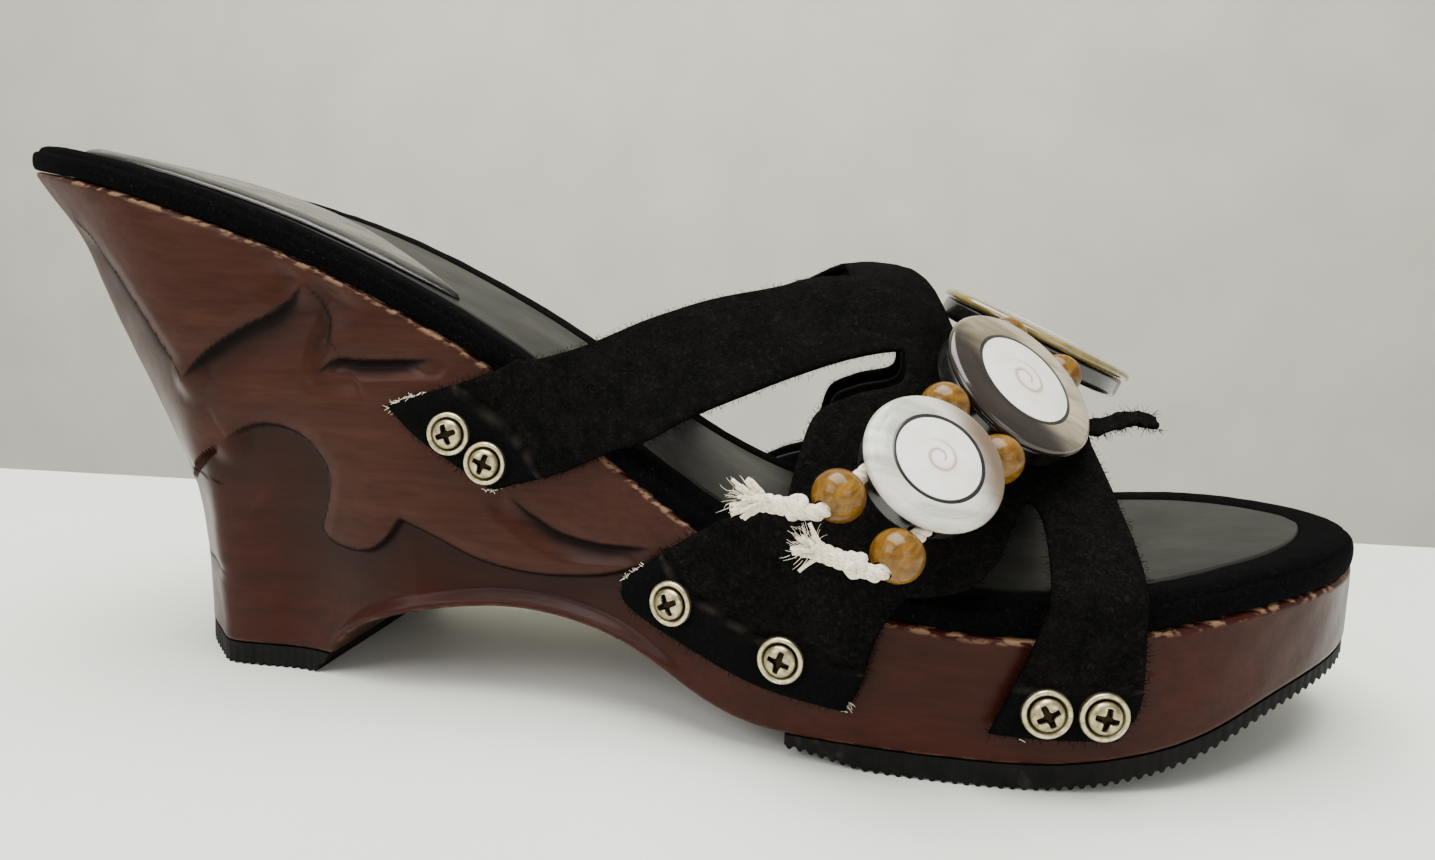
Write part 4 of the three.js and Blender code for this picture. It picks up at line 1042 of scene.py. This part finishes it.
def build_sheet(name, side, low, high, inset, material, slot, replaces, suede):
    flat, triangles, away, outline = flat_cut(side, 0.75, inset)
    x, v = flat[:, 0], flat[:, 1] / V_SCALE
    rounding = np.sqrt(1 - (1 - np.clip(away / 0.6, 0, 1)) ** 2)
    middle = (low + high) / 2
    half = (high - low) / 2 * rounding
    strip, crease, worn = tab_strip(flat)
    shift = np.zeros(len(flat))
    if side < 0:
        shift += raise_at_crossing(flat)
    top_extra = np.zeros(len(flat))
    if suede:
        top_extra += 0.16 * rough(flat, 2.2) * (1 - strip) + 0.28 * rough(flat, 9, 1.3) * (1 - strip)
        top_extra += 0.35 * strip - 0.75 * crease
    top_extra *= smooth(0, 1.2, away)
    upper = last_point(x, v, side, middle + half + shift + top_extra)
    lower = last_point(x, v, side, middle - half + shift)
    on_edge = away < 1e-3
    count = len(flat)
    under = np.where(on_edge, np.arange(count), np.arange(count) + count)
    order = 1 if side < 0 else -1
    faces = [face[::order] for face in triangles]
    faces += [[int(under[i]) for i in face[::-order]] for face in triangles]
    points = np.vstack([upper, lower])
    used = sorted({i for face in faces for i in face})
    number = {old: new for new, old in enumerate(used)}
    faces = [[number[i] for i in face] for face in faces]
    # The crease attribute carries that pale line: painted highlight, partly edge wear.
    both = [np.concatenate([values, values])[used] for values in (strip, worn)]
    piece = make_piece(name, points[used], faces, material, slot, replaces, strip=both[0], crease=both[1])
    return piece, outline


# Frayed stretches of the cut edges, as (knots, number of threads, longest thread).
FRAYED = [
    ([(-39, -0.3), (-32, -0.22)], 26, 1.1),
    ([(-39, -0.3), (-37.5, -0.32)], 6, 0.9),
    ([(-22.5, -0.4), (-21, -0.4), (-19.5, -0.38)], 9, 1.3),
    ([(6.2, -0.34), (2, -0.46)], 24, 1.0),
    ([(37, -0.67), (38.0, -0.61)], 10, 1.1),
    ([(57, -0.67), (62, -0.68)], 3, 0.9),
]


def plain(count):
    """Suede marks of a piece with no strip and no pale crease line, so no painted highlight."""
    return {"strip": np.zeros(count), "crease": np.zeros(count)}


def fibre(bundle, start, way, length, radius, curl):
    """One thin hair: a three-sided tube that bends as it goes."""
    t = np.linspace(0, 1, 5)[:, None]
    bend = unit(CHANCE.normal(size=3)) * curl * length
    path = start + way * t * length + bend * t ** 2
    points, faces = tube(path, np.linspace(radius, radius * 0.4, 5), 3)
    bundle.add(points, faces)


def build_nap(side, outline):
    """Short hairs along the cut edges of one suede piece, and pale threads where it is frayed."""
    label = "outer" if side < 0 else "inner"
    dark = Bundle()
    lifted = raise_at_crossing(outline) if side < 0 else np.zeros(len(outline))
    outward = -inward_of(outline)
    for k in range(len(outline)):
        for _ in range(3):
            x, v = outline[k] + CHANCE.uniform(-0.3, 0.3, 2)
            lift = SUEDE_LOW + 0.2 + lifted[k] + CHANCE.uniform(0, 0.9)
            start = last_point(x, v / V_SCALE, side, lift)
            ahead = last_point(x + outward[k, 0], (v + outward[k, 1]) / V_SCALE, side, lift)
            way = unit(unit(ahead - start) + 0.55 * CHANCE.normal(size=3))
            fibre(dark, start - 0.15 * way, way, CHANCE.uniform(0.35, 1.0), 0.055, 0.4)
    points, faces = dark.all()
    make_piece(f"suede_nap_{label}", points, faces, SUEDE, "suede", **plain(len(points)))
    pale = Bundle()
    for knots, number, length in FRAYED:
        line = np.array(knots)
        at = CHANCE.uniform(0, len(line) - 1.001, number)
        for t in at:
            k = int(t)
            x, v = line[k] + (line[k + 1] - line[k]) * (t - k)
            start = last_point(x, v, side, SUEDE_LOW + CHANCE.uniform(0.3, 1.2))
            middle = last_point(x + 6 if x < 20 else x - 6, v + 0.05, side, 2.0)
            way = unit(unit(start - middle) + 0.5 * CHANCE.normal(size=3))
            fibre(pale, start - 0.5 * way, way, CHANCE.uniform(0.4, 1) * length, 0.075, 0.7)
    points, faces = pale.all()
    make_piece(f"frayed_threads_{label}", points, faces, COTTON, "cotton_cord")


def build_uppers():
    for side, label, cad in SIDES:
        _, outline = build_sheet(f"suede_upper_{label}", side, SUEDE_LOW, SUEDE_TOP, 0, SUEDE, "suede",
                                 [f"upper_{cad}"], True)
        build_sheet(f"upper_lining_{label}", side, LINING_LOW, LINING_TOP, 1.3, LINING, "lining_leather",
                    [f"lining_{cad}"], False)
        build_nap(side, outline)


TIE_WIDTH = 4.4
TIE_HAIRS = 220
TIE_BEND = ((3, 1.1), (6, 1.7), (9, 1.2))


def build_tie():
    """Flat suede end that leaves the front edge, with frayed edges."""
    v = 0.62
    out = last_normal(72.0, v, -1)
    across = unit(np.cross(out, [1, 0, 0]))
    edge = last_point(73.0, v, -1, SUEDE_TOP + 0.2)
    knots = [last_point(67.5, v, -1, SUEDE_TOP + 0.2), last_point(70.3, v, -1, SUEDE_TOP + 0.2), edge]
    knots += [edge + np.array([f, 0, r]) for f, r in TIE_BEND]
    path = rounded_line(knots, 6)
    columns = 9
    share = np.linspace(-0.5, 0.5, columns)
    upper, lower = [], []
    for k, point in enumerate(path):
        width = TIE_WIDTH * (1 - 0.12 * math.sin(0.9 * k)) * (1 - 0.25 * (k / len(path)) ** 3)
        curl = 0.5 * (2 * share) ** 2
        row = point + np.outer(share * width, across) + np.outer(curl + 0.1 * np.sin(2 * k + 5 * share), out)
        thick = 0.65 * np.sqrt(np.clip(1 - (2 * share) ** 4, 0.02, 1))
        upper.append(row + np.outer(0.6 + thick, out))
        lower.append(row + np.outer(0.6 - thick, out))
    upper = np.array(upper)
    slab("suede_tie", upper[:, ::-1], np.array(lower)[:, ::-1], SUEDE, "suede", ["suede_tie_end"],
         **plain(len(path) * columns))
    nap = Bundle()
    for _ in range(TIE_HAIRS):
        k = int(CHANCE.integers(4, len(path)))
        sign = CHANCE.choice([-1, 1])
        start = path[k] + across * sign * 1.9 + out * CHANCE.uniform(0.3, 1.2)
        way = unit(across * sign + (0.8 if k > len(path) - 4 else 0.1) * np.array([1, 0, 0])
                   + 0.6 * CHANCE.normal(size=3))
        fibre(nap, start, way, CHANCE.uniform(0.5, 1.5), 0.06, 0.5)
    points, faces = nap.all()
    make_piece("suede_tie_nap", points, faces, SUEDE, "suede", **plain(len(points)))


# ------------------------------------------------------------------ fastenings
SCREW_PLACES = {"rear": [(-28, 45), (-21.8, 40.6)], "middle": [(11, 22), (27.9, 16.3)],
                "front": [(63.8, 13), (71.2, 13)]}


def wall_frame(x, z, side, lift):
    v = z / (top_height(x) + RAND_HEIGHT + 0.6) - 1
    return standing(last_point(float(x), float(v), side, lift), last_normal(float(x), float(v), side))


WASHER_PROFILE = [
    (1.5, 0.0), (3.1, 0.0), (3.4, 0.08), (3.5, 0.3), (3.48, 0.75), (3.36, 1.0), (3.15, 1.12), (2.9, 1.08),
    (2.72, 0.92), (2.5, 0.62), (2.2, 0.48), (1.5, 0.42),
]


def build_washer(name, cad, seat):
    points, faces = lathe(WASHER_PROFILE + WASHER_PROFILE[:1], 56, close_ends=False)
    radius = np.linalg.norm(points[:, :2], axis=1)
    # Darker ring in the washer's cup where the screw head sits.
    grime = np.clip(1 - np.abs(radius - 2.45) / 0.35, 0, 1) * 0.9
    make_piece(name, placed(points, seat), faces, WASHER, "brass_washer", [cad], sharp=50, grime=grime)


HEAD_FLOOR = 0.75
HEAD_DOME = 1.25
CROSS_DEPTH = 0.85
CROSS_REACH = 1.75
SHANK_PROFILE = [(2.38, 0.72), (1.2, 0.7), (1.2, -9.0), (0.05, -11.0)]


def pan_head(r):
    return HEAD_FLOOR + HEAD_DOME * np.sqrt(np.clip(1 - (r / 2.42) ** 2.6, 0, 1))


def build_screw(name, cad, seat, turn):
    """Pan head with a cross recess, and its shank."""
    rings = np.concatenate([np.linspace(0.02, 1.7, 22), np.linspace(1.78, 2.4, 7)])
    segments = 72
    angle = np.arange(segments) * 2 * math.pi / segments
    points = []
    for r in rings:
        x, y = r * np.cos(angle), r * np.sin(angle)
        u = x * math.cos(turn) + y * math.sin(turn)
        w = -x * math.sin(turn) + y * math.cos(turn)
        arm = np.minimum(np.abs(u), np.abs(w))
        wide = 0.42 - 0.12 * r / 1.6
        recess = CROSS_DEPTH * smooth(wide + 0.12, wide - 0.08, arm) * smooth(1.72, 1.5, r)
        recess = np.maximum(recess, CROSS_DEPTH * smooth(0.8, 0.55, r))
        points.append(np.column_stack([x, y, pan_head(r) - recess]))
    for r, h in SHANK_PROFILE:
        points.append(np.column_stack([r * np.cos(angle), r * np.sin(angle), np.full(segments, h)]))
    points = np.vstack(points)
    faces = [face[::-1] for face in round_faces(len(rings) + len(SHANK_PROFILE), segments)]
    radius = np.linalg.norm(points[:, :2], axis=1)
    # Darker deeper in the cross recess and round the head's rim.
    grime = np.clip((pan_head(radius) - points[:, 2]) / 0.55, 0, 1) * (radius < CROSS_REACH)
    grime = np.maximum(grime, 0.7 * smooth(2.2, 2.4, radius))
    make_piece(name, placed(points, seat), faces, SCREW, "brass_screw", [cad], sharp=50, grime=grime)


FIRST_TURN = 0.35
TURN_STEP = 0.83


def build_fastenings():
    """Two screws in cup washers through each tab, each turned its own way."""
    turn = FIRST_TURN
    for side, label, cad in SIDES:
        for place, spots in SCREW_PLACES.items():
            for i, (x, z) in enumerate(spots, 1):
                seat = wall_frame(x, z, side, SUEDE_TOP + GAP)
                build_washer(f"cup_washer_{label}_{place}_{i}", f"washer_{cad}_{place}_{i}", seat)
                build_screw(f"cross_screw_{label}_{place}_{i}", f"screw_{cad}_{place}_{i}", seat, turn)
                turn += TURN_STEP


# ------------------------------------------------------------------ medallions
class Medallion:
    def __init__(self, centre, facing, radius):
        self.face = np.array(centre, float)
        self.facing = unit(facing)
        self.radius = radius


MEDALLIONS = [
    Medallion((47.1, -50.9, 47.8), (0.37, -0.71, 0.59), 10.15),
    Medallion((60.75, -27.6, 57.3), (0.53, -0.53, 0.66), 13.15),
    Medallion((68.1, 8.4, 64.8), (0.41, -0.06, 0.91), 18.1),
]
for number, medallion in enumerate(MEDALLIONS):
    span = MEDALLIONS[min(number + 1, 2)].face - MEDALLIONS[max(number - 1, 0)].face
    medallion.forward = unit(span - medallion.facing * (span @ medallion.facing))
    medallion.aside = np.cross(medallion.facing, medallion.forward)
    medallion.middle = medallion.face - medallion.facing * CORD_DEPTH
    medallion.reach = math.sqrt((medallion.radius + GAP) ** 2 - (CORD_SPACING / 2) ** 2)


def strung(medallion, row, along):
    return medallion.middle + medallion.aside * row * CORD_SPACING / 2 + medallion.forward * along


def spiral_line(local, radius):
    """A spiral that opens from the middle of the lid and fades as it goes out, as 0 to 1."""
    r = np.linalg.norm(local, axis=1) / radius
    angle = (np.arctan2(local[:, 1], local[:, 0]) + 0.6) % (2 * math.pi) / (2 * math.pi)
    value = np.zeros(len(local))
    for turn in range(2):
        along = turn + angle
        wanted = 0.1 + 0.24 * along
        thick = 0.022 + 0.02 * np.sin(math.pi * np.clip(along / 1.6, 0, 1))
        line = np.exp(-((r - wanted) / thick) ** 2) * (1 - smooth(1.1, 1.6, along))
        value = np.maximum(value, line)
    return value


LID_SHARE = 0.6
RING_WIDTH = 0.42
# For each shell: the way towards its darker side, and where the shade starts and ends, in radii.
SHADE_WAY = [(0.93, 0.36), (-0.6, -0.8), (0.9, 0.3)]
SHADE_REACH = [(0.15, 0.85), (-0.15, 0.5), (0.3, 1.0)]


def build_medallion(number, medallion):
    """Shell disc, dark ring, domed lid with its spiral, and the backing."""
    seat = standing(medallion.face, medallion.facing)
    radius = medallion.radius
    inlay = radius * LID_SHARE
    ring = inlay + RING_WIDTH
    label = f"medallion_{number}"
    floor = -SHELL_THICKNESS
    rim = [(radius - 0.35, floor), (radius - 0.08, floor + 0.2), (radius, floor + 0.55),
           (radius - 0.1, floor + 0.95), (radius - 0.4, -0.28), (radius - 0.9, -0.1), (radius - 1.6, 0.0)]
    inner = [(ring + 0.15 + (radius - 1.6 - ring) * t, 0.3 - 0.3 * t ** 2) for t in np.linspace(1, 0, 14)[1:]]
    profile = [(ring + 0.15, floor)] + rim + inner + [(ring + 0.15, floor)]
    points, faces = lathe(profile, 144, close_ends=False)
    disc = points / radius
    way = np.array(SHADE_WAY[number - 1])
    wave = 0.12 * rough(disc, 0.4, number)
    shade = smooth(*SHADE_REACH[number - 1], disc[:, :2] @ way + wave)
    make_piece(f"{label}_nacre", placed(points, seat), faces, SHELLS[number - 1], "pearl_shell",
               [f"{label}_shell"], sharp=60, disc=disc, shade=shade)

    points, faces = lathe([(inlay + 0.1, floor), (ring + 0.1, floor), (ring + 0.1, 0.28), (ring - 0.02, 0.33),
                           (inlay + 0.14, 0.33), (inlay + 0.1, 0.28), (inlay + 0.1, floor)], 128, False)
    make_piece(f"{label}_ring", placed(points, seat), faces, RESIN, "black_resin", [f"{label}_bezel"],
               sharp=50)

    dome = [(inlay * t, 0.3 + 0.32 * (1 - t ** 2)) for t in np.linspace(1, 0.004, 46)]
    points, faces = lathe([(inlay, floor)] + dome, 160)
    disc = points / inlay
    spiral = spiral_line(points[:, :2], inlay) * (points[:, 2] > 0)
    make_piece(f"{label}_lid", placed(points, seat), faces, OPERCULUM, "white_operculum",
               [f"{label}_inlay"], sharp=60, disc=disc, spiral=spiral)
    build_backing(label, medallion, seat)


def build_backing(label, medallion, seat):
    """Dark disc behind a shell, with cord holes that show as sunk mouths in its rim."""
    top = -SHELL_THICKNESS - 0.12
    foot = top - BACKING_THICKNESS
    outer = medallion.radius - 0.75
    profile = [(0.01, foot), (outer - 1.4, foot), (outer - 0.55, foot + 0.12), (outer - 0.12, foot + 0.5)]
    profile += [(outer, foot + t) for t in np.linspace(0.8, BACKING_THICKNESS - 0.5, 12)]
    profile += [(outer - 0.15, top - 0.18), (outer - 0.5, top), (0.01, top)]
    points, faces = lathe(profile, 220)
    axes, origin = seat
    for row in (-1, 1):
        for end in (-1, 1):
            mouth = (strung(medallion, row, end * (medallion.reach - 0.9)) - origin) @ axes.T
            way = unit(medallion.forward @ axes.T)
            rel = points - mouth
            off = rel - np.outer(rel @ way, way)
            hole = (np.linalg.norm(off, axis=1) < 1.45) & (np.abs(rel @ way) < 3)
            points[hole] -= np.outer(np.full(hole.sum(), end * 1.5), way)
    make_piece(f"{label}_horn", placed(points, seat), faces, HORN, "black_horn", [f"{label}_backing"],
               sharp=40)


# ------------------------------------------------------------------ beads and cords
def bead_seats(row):
    out = BEAD_RADIUS + GAP
    first, last = MEDALLIONS[0], MEDALLIONS[-1]
    seats = [(strung(first, row, -first.reach - out), first.forward)]
    for here, ahead in zip(MEDALLIONS[:-1], MEDALLIONS[1:]):
        leaving = strung(here, row, here.reach)
        entry = strung(ahead, row, -ahead.reach)
        seats.append(((leaving + entry) / 2, unit(entry - leaving)))
    seats.append((strung(last, row, last.reach + out), last.forward))
    return seats


def build_bead(row, number, centre, axis):
    """Bored bead; 'seat' moves the grain so that no two beads look alike."""
    bore = CORD_RADIUS + 0.25
    start = math.asin(bore / BEAD_RADIUS)
    turn = np.linspace(start, math.pi - start, 30)
    profile = [(bore - 0.05, 0.0), (bore - 0.05, -BEAD_RADIUS * 0.85)]
    profile += [(BEAD_RADIUS * math.sin(t), -BEAD_RADIUS * math.cos(t) * 0.95) for t in turn]
    profile += [(bore - 0.05, BEAD_RADIUS * 0.85), (bore - 0.05, 0.0)]
    points, faces = lathe(profile, 56, close_ends=False)
    seat = points + np.array([17.0 * row, 9.0 * number, 23.0 * number * row])
    make_piece(f"wood_bead_{row}_{number}", placed(points, standing(centre, axis)), faces, BEAD, "bead_wood",
               [f"bead_{row}_{number}"], body=f"bead_{row}_{number}_body", sharp=60, seat=seat)


def twisted(path, radius, pitch, strands=3):
    """Bundle of strands laid round a path, each a tube."""
    path = np.asarray(path, float)
    length = np.concatenate([[0], np.cumsum(np.linalg.norm(np.diff(path, axis=0), axis=1))])
    count = max(int(length[-1] / 0.28), 6)
    at = np.linspace(0, length[-1], count)
    middle = np.column_stack([np.interp(at, length, path[:, k]) for k in range(3)])
    ahead = unit(np.gradient(middle, axis=0))
    normal = unit(np.cross(ahead[0], [0.3, 0.5, 0.8]))
    bundle = Bundle()
    normals = []
    for way in ahead:
        normal = unit(normal - way * (normal @ way))
        normals.append(normal)
    normals = np.array(normals)
    others = np.cross(ahead, normals)
    for s in range(strands):
        turn = 2 * math.pi * (at / pitch + s / strands)
        line = middle + 0.5 * radius * (np.cos(turn)[:, None] * normals + np.sin(turn)[:, None] * others)
        bundle.add(*tube(line, radius * 0.54, 8))
    return bundle


def knot_points(knot, way, lean):
    """A small overhand knot: a cord wound over itself."""
    axes, origin = standing(knot, unit(way + 0.6 * lean))
    t = np.linspace(0, 4.4 * math.pi, 90)
    wide = 0.95 + 0.18 * np.cos(1.5 * t)
    local = np.column_stack([wide * np.cos(t), wide * np.sin(t), 0.75 * np.sin(1.5 * t)])
    return local @ axes + origin


YARNS = 30
LOOSE_HAIRS = 60


def build_tail(bundle, knot, way, length):
    """Loose end: laid strands that open into a brush of threads."""
    side = unit(np.cross(way, [0.2, 0.4, 0.9]))
    t = np.linspace(0, 1, 12)[:, None]
    body = knot + way * t * length * 0.7 + side * 0.5 * np.sin(2.6 * t)
    laid = twisted(body, CORD_RADIUS * 1.15, 3.6)
    bundle.add(*laid.all())
    end = body[-1]
    for _ in range(YARNS):
        spread = CHANCE.normal(size=3)
        direction = unit(way + 0.42 * spread)
        bend = unit(CHANCE.normal(size=3))
        t = np.linspace(0, 1, 7)[:, None]
        reach = CHANCE.uniform(2.2, 3.6)
        line = end - way * 0.9 + 0.4 * spread + direction * t * reach + bend * 0.6 * t ** 2
        bundle.add(*tube(line, np.linspace(0.32, 0.24, 7), 6))
    for _ in range(LOOSE_HAIRS):
        spread = CHANCE.normal(size=3)
        start = end + way * CHANCE.uniform(0, 2.0) + 0.8 * spread
        fibre(bundle, start, unit(way + 0.8 * spread), CHANCE.uniform(0.8, 1.8), 0.05, 0.5)


NEAR_WAYS = {-1: (-0.93, 0, 0.3), 1: (-0.98, 0, 0.12)}
FAR_WAY = (-0.3, 0.8, -0.5)


def cord_end(seat, outward, tail):
    centre, axis = seat
    way = unit(tail)
    lean = unit(axis * outward + way * 0.8)
    return centre + lean * (BEAD_RADIUS + GAP + CORD_RADIUS * 1.8), way, lean


def build_cord(row, number):
    """One cord through its four beads and three medallions, with a knot and a tail at both ends."""
    seats = bead_seats(row)
    near, near_way, near_lean = cord_end(seats[0], -1, NEAR_WAYS[row])
    far, far_way, far_lean = cord_end(seats[3], 1, FAR_WAY)
    knots = [near]
    for i, (centre, axis) in enumerate(seats):
        knots += [centre - axis * BEAD_RADIUS, centre + axis * BEAD_RADIUS]
        if i < 3:
            medallion = MEDALLIONS[i]
            knots += [strung(medallion, row, end * (medallion.reach - 0.6)) for end in (-1, 0, 1)]
    knots.append(far)
    bundle = twisted(rounded_line(knots, 8), CORD_RADIUS, 4.2)
    for knot, way, lean in ((near, near_way, near_lean), (far, far_way, far_lean)):
        bundle.add(*tube(knot_points(knot, way, lean), 0.72, 8))
        build_tail(bundle, knot, way, TAIL_LENGTH)
    points, faces = bundle.all()
    make_piece(f"twisted_cord_{number}", points, faces, COTTON, "cotton_cord", [f"cord_{number}"])


# ------------------------------------------------------------------ room, lights and camera
TABLE_REACH = 2.5
TABLE_EDGE = 0.1547
TABLE_TILT = 0.042
WALL_BACK = 1.1
SLAB_THICKNESS = 0.03


def table_end(x):
    """The table's far edge runs a little askew to the shoe."""
    return TABLE_EDGE + TABLE_TILT * x


def plate(name, corners, material):
    mesh = bpy.data.meshes.new(name)
    mesh.from_pydata([Vector(c) for c in corners], [], [(0, 1, 2, 3)])
    mesh.materials.append(material)
    made = bpy.data.objects.new(name, mesh)
    bpy.context.scene.collection.objects.link(made)


def build_room():
    """Pale table that ends behind the shoe, its slab's edge, and a pale wall well beyond it."""
    table = ground_look("table_top", srgb(229, 230, 223), srgb(234, 235, 228), 0.5)
    wall = ground_look("backdrop", srgb(196, 194, 180), srgb(204, 202, 188), 0.9)
    left, right = -TABLE_REACH, TABLE_REACH
    ends = [(right, table_end(right)), (left, table_end(left))]
    plate("table", [(left, left, 0), (right, left, 0)] + [(x, y, 0) for x, y in ends], table)
    foot = [(x, y + WALL_BACK, -1) for x, y in ends[::-1]]
    head = [(x, y + WALL_BACK, TABLE_REACH) for x, y in ends]
    plate("wall", foot + head, wall)
    under = [(x, y, -SLAB_THICKNESS) for x, y in ends[::-1]]
    plate("table_edge", under + [(x, y, 0) for x, y in ends], table)


def add_light(name, place, target, size, power, colour=(1, 1, 1)):
    data = bpy.data.lights.new(name, "AREA")
    data.shape = "RECTANGLE"
    data.size, data.size_y = size
    data.energy = power
    data.color = colour
    light = bpy.data.objects.new(name, data)
    light.location = place
    light.rotation_mode = "QUATERNION"
    light.rotation_quaternion = (Vector(target) - Vector(place)).to_track_quat("-Z", "Y")
    bpy.context.scene.collection.objects.link(light)


def build_lights():
    world = bpy.data.worlds.new("room")
    world.use_nodes = True
    sky = world.node_tree.nodes["Background"]
    sky.inputs["Color"].default_value = (0.93, 0.95, 0.93, 1)
    sky.inputs["Strength"].default_value = 0.66
    bpy.context.scene.world = world
    add_light("ceiling_panel", (-0.15, -0.1, 1.5), (0, 0, 0), (1.6, 1.2), 60, (1.0, 0.985, 0.95))
    add_light("window", (-1.0, -1.1, 0.9), (0, 0, 0.03), (0.9, 0.9), 14, (0.97, 0.98, 1.0))
    add_light("front_fill", (0.9, -1.3, 0.5), (0, 0, 0.03), (0.9, 0.6), 5, (1.0, 0.98, 0.95))


CAMERA_TURN = (0.1417, 0.1175, 0.0361)
CAMERA_PLACE = (36.87, -184.29, 65.96)
CAMERA_LENS = 25.324
SENSOR_WIDTH = 36


def build_camera():
    """Camera from its yaw, pitch and roll, in radians."""
    yaw, pitch, roll = CAMERA_TURN
    forward = Vector((-math.sin(yaw) * math.cos(pitch), math.cos(yaw) * math.cos(pitch), -math.sin(pitch)))
    right = Vector((math.cos(yaw), math.sin(yaw), 0))
    up = right.cross(forward)
    across = right * math.cos(roll) + up * math.sin(roll)
    upward = up * math.cos(roll) - right * math.sin(roll)
    data = bpy.data.cameras.new("camera")
    data.sensor_width = SENSOR_WIDTH
    data.lens = CAMERA_LENS
    data.clip_start = 0.01
    camera = bpy.data.objects.new("camera", data)
    turn = Matrix((across, upward, -forward)).transposed().to_4x4()
    place = (np.array(CAMERA_PLACE) + FRAME_SHIFT) * MM
    camera.matrix_world = Matrix.Translation(Vector(place)) @ turn
    bpy.context.scene.collection.objects.link(camera)
    bpy.context.scene.camera = camera


build_camera()
build_lights()
build_room()
build_platform()
build_foam()
build_sock()
build_rand()
build_gel()
build_toe_sole()
build_heel_lift()
build_uppers()
build_tie()
build_fastenings()
for number, medallion in enumerate(MEDALLIONS, 1):
    build_medallion(number, medallion)
for number, row in enumerate((-1, 1), 1):
    build_cord(row, number)
    for place, (centre, axis) in enumerate(bead_seats(row), 1):
        build_bead(number, place, centre, axis)
